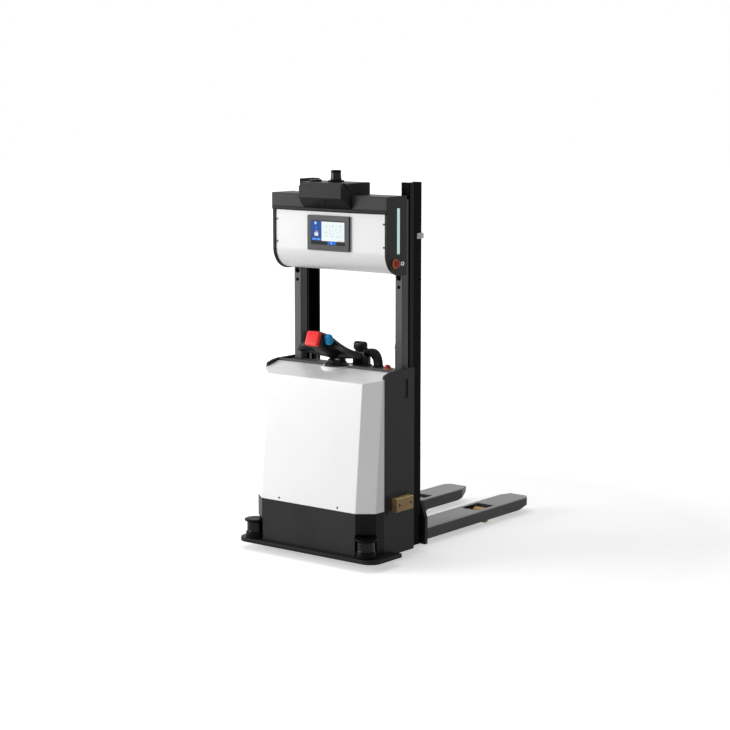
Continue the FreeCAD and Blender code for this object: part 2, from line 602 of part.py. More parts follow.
# ---------------------------------------------------------------- inside the body
def battery_pack():
    z0 = PLATFORM_Z1 + GAP
    x0, x1 = 8 - FRAME_HALF, -95
    case = box(x0, x1, -700, -490, z0, 560)
    case = round_edges(case, 6, lambda e: along(e, 2))
    lid = box(x0 + 4, x1 - 4, -696, -494, 559, 572)
    grips = [box(-235, -190, y, y + 12, 571, 590) for y in (-690, -512)]
    return join(case, lid, *grips)


def hydraulic_unit():
    """Tank, pump motor and valve block that feed the two lift cylinders."""
    z0 = PLATFORM_Z1 + GAP
    x1 = FRAME_HALF - 13
    tank = box(x1 - 155, x1, -620, -500, z0, 420)
    tank = round_edges(tank, 8, lambda e: along(e, 2))
    motor = cyl_z(x1 - 80, -560, 419, 560, 48)
    block = box(x1 - 135, x1 - 25, -501, POST_Y0 - 8 - 2 * GAP, 300, 400)
    return join(tank, motor, block)


def control_box():
    half = FRAME_HALF - 18
    body = box(-half, half, -568, POST_Y0 - 8 - 2 * GAP, 620, 860)
    body = round_edges(body, 8, lambda e: along(e, 1))
    fins = [box(20 - half, half - 20, -580, -567, z, z + 4) for z in range(650, 841, 24)]
    return join(body, *fins)


# ---------------------------------------------------------------- sensing at the corners
def scanner(side):
    rz = [(0, BUMPER_Z1 + GAP), (50, BUMPER_Z1 + GAP), (50, 90), (47, 97), (44, 100),
          (44, 140), (46, 148), (56, 149), (56, 156), (54, 158), (0, 158)]
    return turned(side * SCANNER_X, SCANNER_Y, rz)


def charge_contact():
    """Brass charging block on the right side panel, with two recessed bolt holes."""
    block = box(BODY_HALF + PAD + GAP, CONTACT_X, CONTACT_Y - 67.5, CONTACT_Y + 67.5,
                CONTACT_Z - 33.5, CONTACT_Z + 33.5)
    block = round_edges(block, 5, lambda e: along(e, 1) and e.CenterOfMass.x > CONTACT_X - 6)
    for y in contact_bolts():
        block = cut(block, cyl_x(CONTACT_X - 8, CONTACT_X + 4, y, CONTACT_Z, 8 + GAP))
    return block


def contact_bolts():
    return CONTACT_Y - 0.5 * CONTACT_PITCH, CONTACT_Y + 0.5 * CONTACT_PITCH


# ---------------------------------------------------------------- sensor head
def head_cap():
    inner = HEAD_X - CHEEK_WALL - GAP
    shell = box(-inner, inner, CAP_FRONT, CAP_REAR, CAP_Z0, HEAD_Z1)
    bezel = box(-HEAD_X, HEAD_X, CAP_FRONT, CHEEK_FRONT - GAP, CAP_Z0, HEAD_Z1)
    shell = join(shell, bezel)
    shell = round_edges(shell, 4, lambda e: along(e, 0) and e.CenterOfMass.y < CAP_FRONT + 1)
    hollow = box(-inner + 4, inner - 4, CAP_FRONT + 5, CAP_REAR - 4, CAP_Z0 - 1, HEAD_Z1 - 4)
    return cut(shell, hollow)


def head_section(t, rear, top, x0, x1):
    """Block with the head's side outline moved in by t: upright front, round lower corner."""
    block = box(x0, x1, CHEEK_FRONT + t, rear, HEAD_Z0 + t, top)
    return round_edges(block, HEAD_CORNER_R - t, lambda e: along(e, 0)
                       and e.CenterOfMass.y < CHEEK_FRONT + t + 1
                       and e.CenterOfMass.z < HEAD_Z0 + t + 1)


def head_cheek(stop):
    """Cheek plate; the right one has the panel hole of the emergency stop."""
    cheek = head_section(0, CHEEK_REAR, HEAD_Z1, HEAD_X - CHEEK_WALL, HEAD_X)
    slot = box(HEAD_X - 5, HEAD_X + 1, LIGHT_Y0, LIGHT_Y1, LIGHT_Z0, LIGHT_Z1)
    if not stop:
        return cut(cheek, slot)
    hole = cyl_x(HEAD_X - CHEEK_WALL - 1, HEAD_X + 1, HEAD_STOP_Y, HEAD_STOP_Z,
                 STOP_HOLE_R + GAP)
    return cut(cheek, slot, hole)


def head_panel():
    """White bent sheet: front, round lower corner, bottom and back of the head."""
    half = HEAD_X - CHEEK_WALL - GAP
    top = CAP_Z0 - GAP
    rear = POST_Y0 - GAP
    outer = head_section(SHEET_INSET, rear, top, -half, half)
    inner = head_section(SHEET_INSET + SHEET, rear - SHEET, top + 5, -half - 1, half + 1)
    return cut(outer, inner)


def nose_housing():
    """Front housing that carries the navigation scanner, with a sloped underside."""
    side = [(-679, NOSE_TOP - 73), (-679, NOSE_TOP - 14), (-650, NOSE_TOP),
            (-472, NOSE_TOP), (-472, HEAD_Z1 + GAP), (CAP_FRONT - GAP, HEAD_Z1 + GAP),
            (CAP_FRONT - GAP, NOSE_TOP - 127)]
    h = NOSE_HALF
    block = prism_x(side, -h, h)
    for wedge in pair(prism_z([(h - 18, -680), (h, -640), (h + 1, -640), (h + 1, -680)],
                              NOSE_TOP - 160, NOSE_TOP + 40)):
        block = cut(block, wedge)
    for wedge in pair(prism_y([(h + 1, NOSE_TOP - 38), (h - 38, NOSE_TOP + 1),
                               (h + 1, NOSE_TOP + 1)], -690, -640)):
        block = cut(block, wedge)
    pad = turned(-112, -576, [(0, NOSE_TOP - 2), (33, NOSE_TOP - 2), (33, NOSE_TOP + 7),
                              (30, NOSE_TOP + 11), (0, NOSE_TOP + 11)])
    hollow = box(-h + 8, h - 8, -600, -480, HEAD_Z1 - 5, NOSE_TOP - 6)
    block = join(cut(block, hollow), pad)
    return cut(block, camera_solid(9 + GAP, 6))


def camera_solid(radius, depth):
    """Short cylinder square to the sloped underside of the nose."""
    slope = math.atan2(54, 679 + CAP_FRONT - GAP)
    out = V(0, -math.sin(slope), -math.cos(slope))
    centre = V(0, -651, NOSE_TOP - 73 - 28 * math.tan(slope))
    return Part.makeCylinder(radius, depth + 2, centre - out * depth, out)


def nose_camera():
    return camera_solid(9, 5.7)


def display():
    """Touch screen unit: frame on the front of the head with the glass set back."""
    w = SCREEN_HALF
    y = DISPLAY_FRONT
    frame = box(-w - 24, w + 24, y, WRAP_FRONT - GAP, SCREEN_Z0 - 29, SCREEN_Z1 + 26)
    frame = round_edges(frame, 5, lambda e: along(e, 1))
    return cut(frame, box(-w, w, y - 1, y + 2, SCREEN_Z0, SCREEN_Z1))


def display_screen():
    w = SCREEN_HALF - GAP
    return box(-w, w, DISPLAY_FRONT + GAP, DISPLAY_FRONT + 2 - GAP, SCREEN_Z0 + GAP,
               SCREEN_Z1 - GAP)


def light_bars():
    bar = box(HEAD_X - 5 + GAP, HEAD_X + 1, LIGHT_Y0 + GAP, LIGHT_Y1 - GAP, LIGHT_Z0 + GAP,
              LIGHT_Z1 - GAP)
    return pair(round_edges(bar, 2, lambda e: along(e, 2) and e.CenterOfMass.x > HEAD_X))


def stop_collar(flange, low):
    """Half section of a stop's collar, from (radius, height over the panel) points."""
    bore = STOP_STEM_R + RUN
    return [(bore, -12), (STOP_HOLE_R, -12), (STOP_HOLE_R, GAP), (flange, GAP),
            (flange, low), (flange - 3, low + 3), (bore, low + 3)]


def stop_button(low, cap):
    """Half section of a stop's mushroom button and its stem in the collar."""
    return [(0, -6), (STOP_STEM_R, -6), (STOP_STEM_R, low), (cap - 1, low), (cap, low + 3),
            (cap - 1, low + 11), (cap - 5, low + 13.5), (0, low + 13.5)]


def on_cheek(section):
    return turned_x(HEAD_STOP_Y, HEAD_STOP_Z, [(r, HEAD_X + h) for r, h in section])


def on_deck(section):
    return turned(DECK_STOP_X, DECK_STOP_Y, [(r, DECK_TOP + h) for r, h in section])


def key_switch():
    x, y, z = HEAD_X + GAP, -504, HEAD_Z0 + 61
    knob = turned_x(y, z, [(0, x), (11, x), (11, x + 4), (9, x + 6), (0, x + 6)])
    return join(knob, box(x + 5, x + 17, y - 3, y + 3, z - 9, z + 9))


def nav_lidar():
    z = NOSE_TOP + GAP
    rz = [(0, z), (41, z), (41, z + 7), (38, z + 9), (29, z + 9), (27, z + 12), (23, z + 55),
          (20, z + 58), (0, z + 58)]
    return turned(0, -551, rz)


def height_sensor():
    """Proximity sensor and its bracket on the outer face of the right rail."""
    x = RAIL_X1 + GAP
    plate = box(x, x + 4, -354, -305, 1584, 1612)
    tail = box(RAIL_X1 - 6, x + 4, RAIL_Y1 + GAP, -303, 1584, 1612)
    barrel = cyl_x(x + 3, x + 12, -335, 1598, 8)
    return join(plate, tail, barrel)


# ---------------------------------------------------------------- tiller
def tiller_pedestal():
    """Turning base: ring, neck and two lugs that hold the tilt pin."""
    z = BOSS_TOP + GAP
    low = BOSS_TOP - 34
    rz = [(0, low), (TILLER_SHAFT_R, low), (TILLER_SHAFT_R, z), (61, z), (61, z + 7),
          (36, z + 14), (46, BOSS_TOP + 29), (0, BOSS_TOP + 29)]
    base = turned(0, TILLER_Y, rz)
    lug = join(box(LUG_X0, LUG_X1, TILLER_Y - 17, TILLER_Y + 17, BOSS_TOP + 21, TILT_Z),
               cyl_x(LUG_X0, LUG_X1, TILLER_Y, TILT_Z, 17))
    pin = cyl_x(-LUG_X0 - 6, LUG_X0 + 6, TILLER_Y, TILT_Z, TILT_PIN_R)
    return join(base, pin, *pair(lug))


def at_pin(shape):
    """Moves a piece drawn round the tilt pin to its place."""
    shape.translate(V(0, TILLER_Y, TILT_Z))
    return shape


def tiller_head():
    """Moulded head: centre housing, pivot tongue and one closed hand loop on each side."""
    side = [(-168, 67), (-168, 144), (-72, 116), (-13, 67), (27, 40), (42, 17), (10, -10),
            (-10, -10), (-85, 8), (-143, 45)]
    body = prism_x(side, -42, 42)
    body = round_edges(body, 8, lambda e: along(e, 0) and e.CenterOfMass.z > 25)
    body = join(body, cyl_x(GAP - LUG_X0, LUG_X0 - GAP, 0, 0, 16))
    body = cut(body, cyl_x(-50, 50, 0, 0, TILT_PIN_R + RUN))
    body = cut(body, box(-STEM_X - 0.5, STEM_X + 0.5, -173, -145, STEM_Z0 - 0.5,
                         STEM_Z1 + 0.5))
    body = cut(body, cyl_x(-50, 50, THROTTLE_Y, THROTTLE_Z, THROTTLE_PIN_R + RUN))
    grip = [(39, -75, 93), (95, -87, 84), (150, -103, 69), (191, -99, 56), (201, -53, 29),
            (184, -21, 15), (128, -11, 11), (39, -21, 15)]
    for loop in pair(tube(grip, 11, 8)):
        body = join(body, loop)
    x0, x1 = LUG_X0 - GAP, LUG_X1 + 1
    for relief in pair(cyl_x(x0, x1, 0, 0, 18)):
        body = cut(body, relief)
    for angle in range(0, 51, 10):
        sweep = box(x0, x1, -18, 18, -26, 0)
        sweep.rotate(V(0, 0, 0), V(1, 0, 0), angle)
        body = cut(body, *pair(sweep))
    return at_pin(body)


def belly_button():
    """Red safety button on the end of the tiller head."""
    cap = prism_x([(-209, 75), (-184, 145), (-177.5, 142), (-177.5, 67)], -40, 40)
    cap = round_edges(cap, 3, lambda e: along(e, 0) and e.CenterOfMass.y < -183)
    stem = box(-STEM_X, STEM_X, -178, -155, STEM_Z0, STEM_Z1)
    return at_pin(join(cap, stem))


def throttle_wheels():
    """Thumb throttle: two paddle wheels on one cross shaft."""
    y, z = THROTTLE_Y, THROTTLE_Z
    wheel = join(cyl_x(44, 70, y, z, 17), box(44, 70, y - 5, y + 5, z - 25, z + 25))
    return at_pin(join(cyl_x(-70, 70, y, z, THROTTLE_PIN_R), *pair(wheel)))


# ---------------------------------------------------------------- deck connector
def deck_connector():
    """Rectangular plug and socket with a side cable outlet and a locking lever."""
    z = DECK_TOP
    y = PLUG_Y
    socket = box(26, 120, y - 18, y + 18, z + GAP, z + 62)
    flange = box(20, 126, y - 21, y + 21, z + GAP, z + 8)
    hood = prism_y([(30, z + 61), (30, z + 116), (34, z + 120), (96, z + 120),
                    (112, z + 100), (112, z + 61)], y - 16, y + 16)
    outlet = cyl_x(111, OUTLET_X, y, z + OUTLET_RISE, HOSE_R + 2)
    lever = join(box(50, 92, y - 20, y - 15, z + 56, z + 90),
                 box(60, 82, y - 20, y - 15, z + 89, z + 100))
    return join(socket, flange, hood, outlet, lever)


def conduit():
    """Corrugated hose from the plug down through the deck."""
    top = DECK_TOP + OUTLET_RISE
    return tube([(OUTLET_X + GAP, PLUG_Y, top), (HOSE_X, PLUG_Y, top),
                 (HOSE_X, PLUG_Y, DECK_TOP - 29)], HOSE_R)


def screws():
    """Visible fixings: cover screws, head panel screws and contact bolts."""
    y = BODY_FRONT + LEAN * (COVER_SCREW_Z - SKIRT_TOP)
    heads = pair(cyl_y(COVER_SCREW_X, y - 1, y + 8, COVER_SCREW_Z, 5))
    for z in (HEAD_Z0 + 142, HEAD_Z0 + 254):
        heads += pair(cyl_y(HEAD_X - 24.7, WRAP_FRONT - GAP - 2, WRAP_FRONT - GAP, z, 5))
    for y in contact_bolts():
        heads.append(cyl_x(CONTACT_X - 8 + GAP, CONTACT_X - 2, y, CONTACT_Z, 8))
    return heads


save("base_frame", base_frame())
save("bumper_plate", bumper_plate())
save("lower_skirt", lower_skirt())
save("front_cover", front_cover())
save("side_panel_right", side_panel(True))
save("side_panel_left", mirrored(side_panel(False)))
save("top_deck", top_deck())
rail = mast_rail()
save("mast_rail_right", rail)
save("mast_rail_left", mirrored(rail))
save("head_frame", head_frame())
barrel = lift_barrel()
save("lift_barrels", pair(barrel))
save("lift_rods", pair(lift_rod()))
save("chain_sheaves", pair(chain_sheave()))
save("chain_front", pair(chain_run(LIFT_Y - SHEAVE_R, 420 + GAP, SHEAVE_Z)))
save("chain_rear", pair(chain_run(LIFT_Y + SHEAVE_R, CHAIN_LOW + GAP, SHEAVE_Z)))
save("chain_wraps", pair(chain_wrap()))
save("lift_carriage", lift_carriage())
one_fork = fork()
save("fork_right", one_fork)
save("fork_left", mirrored(one_fork))
save("guide_rollers_lower", pair(guide_roller(GUIDE_LOW)))
save("guide_rollers_upper", pair(guide_roller(GUIDE_HIGH)))
roller = load_roller()
save("load_roller_right", roller)
save("load_roller_left", mirrored(roller))
save("drive_yoke", drive_yoke())
save("drive_wheel", drive_wheel())
save("drive_motor", drive_motor())
save("steer_motor", steer_motor())
caster = caster_fork()
save("caster_fork_right", caster)
save("caster_fork_left", mirrored(caster))
wheel = caster_wheel()
save("caster_wheel_right", wheel)
save("caster_wheel_left", mirrored(wheel))
save("battery_pack", battery_pack())
save("hydraulic_unit", hydraulic_unit())
save("control_box", control_box())
save("scanner_right", scanner(1))
save("scanner_left", scanner(-1))
save("charge_contact", charge_contact())
save("head_cap", head_cap())
save("head_cheek_right", head_cheek(True))
save("head_cheek_left", mirrored(head_cheek(False)))
save("head_panel", head_panel())
save("nose_housing", nose_housing())
save("nose_camera", nose_camera())
save("display", display())
save("display_screen", display_screen())
save("light_bars", light_bars())
save("head_estop_collar", on_cheek(stop_collar(23, 5)))
save("head_estop_button", on_cheek(stop_button(14, 18)))
save("deck_estop_collar", on_deck(stop_collar(19, 13)))
save("deck_estop_button", on_deck(stop_button(21, 16)))
save("key_switch", key_switch())
save("nav_lidar", nav_lidar())
save("height_sensor", height_sensor())
save("tiller_pedestal", tiller_pedestal())
save("tiller_head", tiller_head())
save("belly_button", belly_button())
save("throttle_wheels", throttle_wheels())
save("deck_connector", deck_connector())
save("conduit", conduit())
save("screws", screws())
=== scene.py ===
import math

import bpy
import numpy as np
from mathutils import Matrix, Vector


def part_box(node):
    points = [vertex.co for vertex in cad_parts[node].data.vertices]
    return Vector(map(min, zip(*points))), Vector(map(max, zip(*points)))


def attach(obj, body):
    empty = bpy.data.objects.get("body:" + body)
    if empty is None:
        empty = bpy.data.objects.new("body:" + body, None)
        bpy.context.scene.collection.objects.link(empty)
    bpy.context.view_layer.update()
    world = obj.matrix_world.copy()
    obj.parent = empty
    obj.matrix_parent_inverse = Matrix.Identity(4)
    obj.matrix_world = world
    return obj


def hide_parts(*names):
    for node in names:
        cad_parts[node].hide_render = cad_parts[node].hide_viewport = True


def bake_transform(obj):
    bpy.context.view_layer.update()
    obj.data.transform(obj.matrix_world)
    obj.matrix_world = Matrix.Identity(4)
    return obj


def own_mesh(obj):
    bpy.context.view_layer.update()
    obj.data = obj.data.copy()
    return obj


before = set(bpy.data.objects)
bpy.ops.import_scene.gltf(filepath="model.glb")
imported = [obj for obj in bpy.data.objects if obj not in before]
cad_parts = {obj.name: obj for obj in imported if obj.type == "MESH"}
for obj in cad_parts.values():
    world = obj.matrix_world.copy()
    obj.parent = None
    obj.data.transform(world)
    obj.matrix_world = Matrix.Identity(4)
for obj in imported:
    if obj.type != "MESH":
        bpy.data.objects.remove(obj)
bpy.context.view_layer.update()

# %% [markdown]
# # A laser-guided pallet stacker robot
# The engineering model is already here: every plate, wheel, rod and shell at its real size, each one
# riding on the body that moves it. This lesson dresses that model. It gives each surface the finish
# that the real one has, replaces the few pieces whose soft or fine form a plain solid can't show, and
# lights the whole machine as in a studio. Lengths are metres, and a piece's place comes from the
# engineering model's own boxes.

MM = 0.001


def middle(node):
    """Centre of an engineering node's box."""
    low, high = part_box(node)
    return (low + high) / 2


# %% [markdown]
# ## Shader maths in plain Python
# A procedural finish is arithmetic on noise and position. Wiring that by hand is hard to read, so a
# small class wraps one socket and lets + - * / build the Math nodes. A second class holds a node tree
# and adds any other node in one call, and a third is one material, so that each finish below reads as
# a few lines.

# %% A socket that can be added and multiplied
class Value:
    """One output socket of a node tree."""

    def __init__(self, nodes, socket):
        self.nodes = nodes
        self.socket = socket

    def maths(self, operation, other=None, flip=False):
        """A Math node on this value and another; flip puts the other one first."""
        pair = [self] if other is None else [other, self] if flip else [self, other]
        return self.nodes.add("Math", {"operation": operation}, dict(enumerate(pair)))

    def __add__(self, other):
        return self.maths("ADD", other)

    def __radd__(self, other):
        return self.maths("ADD", other, True)

    def __sub__(self, other):
        return self.maths("SUBTRACT", other)

    def __rsub__(self, other):
        return self.maths("SUBTRACT", other, True)

    def __mul__(self, other):
        return self.maths("MULTIPLY", other)

    def __rmul__(self, other):
        return self.maths("MULTIPLY", other, True)

    def __truediv__(self, other):
        return self.maths("DIVIDE", other)

    def above(self, limit):
        """1 where the value is over the limit, else 0."""
        return self.maths("GREATER_THAN", limit)

    def below(self, limit):
        """1 where the value is under the limit, else 0."""
        return self.maths("LESS_THAN", limit)

    def power(self, exponent):
        """The value raised to an exponent."""
        return self.maths("POWER", exponent)

    def larger(self, other):
        """The larger of two values."""
        return self.maths("MAXIMUM", other)

    def between(self, low, high):
        """1 where the value lies between the two limits, else 0."""
        return self.above(low) * self.below(high)

    def ramp(self, low, high, start=0.0, end=1.0):
        """start below low, end above high, a straight line between."""
        return self.nodes.add("MapRange", {"clamp": True},
                              {0: self, 1: low, 2: high, 3: start, 4: end})


class Nodes:
    """A node tree, and one method that adds any node to it."""

    def __init__(self, tree):
        self.tree = tree

    def fill(self, target, value):
        """Links a value to a socket, or writes a number or colour into it."""
        if isinstance(value, Value):
            self.tree.links.new(value.socket, target)
        elif target.type == "RGBA" and len(value) == 3:
            target.default_value = (*value, 1.0)
        else:
            target.default_value = value

    def add(self, kind, settings=None, values=None, out=0):
        """A node of that type, its settings first, then its sockets; gives one output back."""
        node = self.tree.nodes.new("ShaderNode" + kind)
        for key, setting in (settings or {}).items():
            setattr(node, key, setting)
        for key, value in (values or {}).items():
            self.fill(node.inputs[key], value)
        return Value(self, node.outputs[out])

    def mix(self, factor, first, second):
        """Colour mix: first where factor is 0, second where it is 1."""
        return self.add("Mix", {"data_type": "RGBA"}, {0: factor, 6: first, 7: second}, out=2)

    def backdrop_ray(self):
        """1 for what the camera, a gloss or glass sees, 0 for the light that falls on things."""
        camera_ray = self.add("LightPath", out="Is Camera Ray")
        glossy_ray = self.add("LightPath", out="Is Glossy Ray")
        glass_ray = self.add("LightPath", out="Is Transmission Ray")
        return camera_ray.larger(glossy_ray).larger(glass_ray)


class Paint(Nodes):
    """One material: its node tree and the nodes that every finish starts from."""

    def __init__(self, name):
        self.material = bpy.data.materials.new(name)
        self.material.use_nodes = True
        super().__init__(self.material.node_tree)
        self.tree.nodes.clear()
        output = self.tree.nodes.new("ShaderNodeOutputMaterial")
        self.shader = self.tree.nodes.new("ShaderNodeBsdfPrincipled")
        self.tree.links.new(self.shader.outputs[0], output.inputs[0])

    def set(self, **sockets):
        """Fills the shader's sockets by name, with _ for a space."""
        for key, value in sockets.items():
            self.fill(self.shader.inputs[key.replace("_", " ")], value)
        return self

    def lay(self, mask, colour):
        """Lays one more colour over the base colour where the mask is 1."""
        below = Value(self, self.shader.inputs["Base Color"].links[0].from_socket)
        return self.set(Base_Color=self.mix(mask, below, colour))

    def place(self):
        """Object coordinates: the same as the frame's, because no piece is moved or turned."""
        return self.add("TexCoord", out="Object")

    def axes(self, letters):
        """One value in metres for each letter of x, y and z that is asked for."""
        node = self.tree.nodes.new("ShaderNodeSeparateXYZ")
        self.fill(node.inputs[0], self.place())
        return [Value(self, node.outputs["xyz".index(letter)]) for letter in letters]

    def noise(self, scale, detail=3.0, stretch=(1, 1, 1), rough=0.5):
        """Cloudy noise round 0.5, with its coordinates multiplied by stretch."""
        stretched = self.add("Mapping", values={"Vector": self.place(), "Scale": stretch})
        return self.add("TexNoise", values={"Vector": stretched, "Scale": scale, "Detail": detail,
                                            "Roughness": rough})

    def facing(self, direction, normal=None):
        """Cosine between a direction and a normal, which is the face's own if none is given."""
        if normal is None:
            normal = self.add("NewGeometry", out="Normal")
        return self.add("VectorMath", {"operation": "DOT_PRODUCT"}, {0: normal, 1: direction},
                        out="Value")

    def edge_normal(self, radius):
        """The normal as if every edge were rounded to that radius."""
        return self.add("Bevel", {"samples": 6}, {"Radius": radius})

    def worn_edge(self, radius):
        """1 where a rounded edge would turn away from the flat face, 0 on the flat."""
        flat = self.add("NewGeometry", out="Normal")
        return (1.0 - self.facing(flat, self.edge_normal(radius))).ramp(0.02, 0.3)

    def bump(self, height, distance, strength, normal):
        """Raises the surface by distance where height is 1, on top of the given normal."""
        return self.set(Normal=self.add("Bump", values={"Height": height, "Distance": distance,
                                                        "Strength": strength, "Normal": normal}))


print("shader helpers ready")

# %% [markdown]
# ## The recipe behind every coating
# Paint, powder coat and moulded plastic differ in four things: how much the colour drifts, how fine
# the skin is, how shiny it is, and how an edge wears. One function takes those four and lays them
# out. Edges are rounded in the shader, because the engineering solids are sharp.

# %% One function for coatings, one for bare metal
def coating(name, colour, rough=0.5, grain=900.0, depth=0.03, edge=1.5, drift=0.08, wear=0.25,
            coat=0.0, specular=0.5):
    """Coloured skin: slow colour drift, fine grain in the bump, lighter rounded edges.

    grain is how fine the skin is, depth the grain's height in mm, edge the radius of the corners in
    mm, drift the share by which the colour goes up and down, and wear how far edges turn pale.
    coat is a layer of clear varnish, and specular how strongly the skin mirrors.
    """
    paint = Paint(name)
    slow = paint.noise(7.0, 4.0)
    fine = paint.noise(grain, 2.0)
    dark = tuple(c * (1 - drift) for c in colour)
    light = tuple(min(1.0, c * (1 + drift)) for c in colour)
    bare = 0.55
    pale = tuple(min(1.0, c + wear * (bare - min(c, bare))) for c in colour)
    body = paint.mix(slow.ramp(0.3, 0.7), dark, light)
    rubbed = paint.worn_edge(edge * MM) * paint.noise(60.0, 4.0).ramp(0.35, 0.75) * wear
    paint.set(Base_Color=paint.mix(rubbed, body, pale))
    paint.set(Roughness=(slow - 0.5) * 0.16 + (fine - 0.5) * 0.1 + rough)
    paint.set(Coat_Weight=coat, Coat_Roughness=0.08, Specular_IOR_Level=specular)
    return paint.bump(fine, depth * MM, 0.6, paint.edge_normal(edge * MM))


def metal(name, colour, rough=0.3, lines=(1, 1, 60), depth=0.01, edge=0.8, stain=0.25):
    """Bare metal: faint stains, and streaks drawn out along the axes whose figure in lines is small."""
    paint = Paint(name)
    brushed = paint.noise(40.0, 5.0, lines)
    cloud = paint.noise(25.0, 5.0)
    darker = tuple(c * (1 - stain) for c in colour)
    paint.set(Base_Color=paint.mix(cloud.ramp(0.35, 0.7), darker, colour), Metallic=1.0)
    paint.set(Roughness=(brushed - 0.5) * 0.3 + (cloud - 0.5) * 0.15 + rough)
    return paint.bump(brushed, depth * MM, 0.5, paint.edge_normal(edge * MM))


def dress(paint, *names):
    """Gives a finish to engineering nodes by name."""
    for name in names:
        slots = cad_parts[name].data.materials
        slots.clear()
        slots.append(paint.material)


print("finish recipes ready")

# %% [markdown]
# ## White moulded cover and head sheet
# The front cover is a large thermoformed white shell and the head wears a bent, sprayed sheet. Both
# are smooth and softly glossy. A very shallow ripple stands in for orange peel.

# %% White shells
white = coating("white_gloss", (0.8, 0.8, 0.8), rough=0.36, grain=260.0, depth=0.02, edge=5.0,
                drift=0.012, wear=0.0, coat=0.1, specular=0.3)
dress(white, "front_cover")
sheet_white = coating("white_sheet", (0.67, 0.67, 0.67), rough=0.34, grain=320.0, depth=0.015,
                      edge=1.5, drift=0.012, wear=0.0, coat=0.08, specular=0.3)
dress(sheet_white, "head_panel")
print("white finishes on the front cover and the head sheet")

# %% [markdown]
# ## Black and grey coatings
# Steel is powder coated: a fine pebbled skin that scatters light into a soft sheen. The plates are
# near black, the side panels a little lighter, and the posts and the deck clearly grey. All come from
# the one coating recipe, with a low specular level that keeps the blacks deep in a white room.

# %% Powder-coated steel
powder = coating("black_powder_coat", (0.012, 0.012, 0.012), rough=0.42, edge=1.6, wear=0.12,
                 specular=0.1)
post_grey = coating("post_grey", (0.084, 0.084, 0.085), rough=0.4, edge=3.0, wear=0.06,
                    specular=0.16)
panel_black = coating("panel_black", (0.026, 0.026, 0.026), rough=0.42, grain=1200.0, edge=2.0,
                      wear=0.06, specular=0.1)
deck_grey = coating("deck_grey", (0.06, 0.06, 0.061), rough=0.5, edge=1.5, wear=0.1, specular=0.2)
dress(powder, "base_frame", "bumper_plate", "lift_carriage")
dress(post_grey, "head_frame")
dress(panel_black, "side_panel_left", "side_panel_right")
dress(deck_grey, "top_deck")
print("powder coats done")

# %% [markdown]
# ## Cheeks and skirt with painted shade
# The head's cheeks and the skirt are each one black moulding, and some of their faces are painted
# darker as shade: the cheeks are deeper in front than on their sides, and the skirt is deeper where it
# faces right. Two materials on one piece would need face numbers. A mask made from the face's
# direction does it by formula, and follows when the shape changes.


# %% Painted shade on one moulding, by the face's direction
def facing_shade(name, colour, deep, toward, limit, **recipe):
    """A coating that turns to the deep tone, as painted shade, on faces whose normal, along toward,
    passes limit.
    """
    paint = coating(name, colour, **recipe)
    return paint.lay(paint.facing(toward).above(limit), deep)


# The deep tone is painted shade: on the cheeks' front faces and on the skirt's faces that look right.
cheek_black = facing_shade("cheek_black", (0.028, 0.028, 0.028), (0.004, 0.004, 0.004), (0, -1, 0), 0.5,
                       rough=0.42, grain=1200.0, edge=1.5, wear=0.03, specular=0.1)
dress(cheek_black, "head_cheek_left", "head_cheek_right")
skirt_black = facing_shade("skirt_black", (0.026, 0.026, 0.026), (0.006, 0.006, 0.006), (1, 0, 0), 0.25,
                       rough=0.4, grain=1300.0, edge=2.5, wear=0.03, specular=0.08)
dress(skirt_black, "lower_skirt")
print("cheeks and skirt done")

# %% [markdown]
# ## Mast and forks
# The mast rails are the darkest steel, apart from a lighter strip down the flange next to the posts,
# which is painted light for the flange's lit edge; a mask on the depth coordinate lays that strip. The
# forks are dark grey, and their tops are much lighter: partly rubbed in long streaks where pallets
# slide, partly painted light from above. Noise that is drawn out along the fork gives the streaks, and
# a mask keeps the lighter tone on faces that look up.


# %% Mast paint, with a strip of painted light on the front flange of the outer rail
def mast_finish(flange=28.0):
    """Deep black, with a lighter strip of flange mm, painted light, from the side panels' rear edge
    backwards.
    """
    paint = coating("mast_black", (0.0035, 0.0035, 0.0035), rough=0.3, edge=2.0, wear=0.01,
                    specular=0.02)
    [y] = paint.axes("y")
    panel_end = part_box("side_panel_right")[1].y
    # The strip is painted light, standing for the lit edge of the rail's front flange.
    return paint.lay(y.between(panel_end, panel_end + flange * MM), (0.034, 0.034, 0.034))


dress(mast_finish(), "mast_rail_left", "mast_rail_right", "lift_barrels")
print("mast done")


# %% Fork paint, scuffed where pallets slide and painted light on top
def fork_finish():
    """Grey paint whose top face shows long scratches down to a lighter grey, and is painted light as if
    lit from above.
    """
    paint = coating("fork_grey", (0.05, 0.05, 0.051), rough=0.42, edge=2.0, wear=0.15,
                    specular=0.2)
    streaks = paint.noise(30.0, 6.0, stretch=(6, 0.35, 1), rough=0.7)
    # The light top colours are partly scuffs and partly painted light from above.
    scuffed_and_lit = paint.mix(streaks.ramp(0.35, 0.7), (0.25, 0.25, 0.25), (0.33, 0.33, 0.33))
    return paint.lay(paint.facing((0, 0, 1)).above(0.7), scuffed_and_lit)


dress(fork_finish(), "fork_left", "fork_right")
print("forks done")
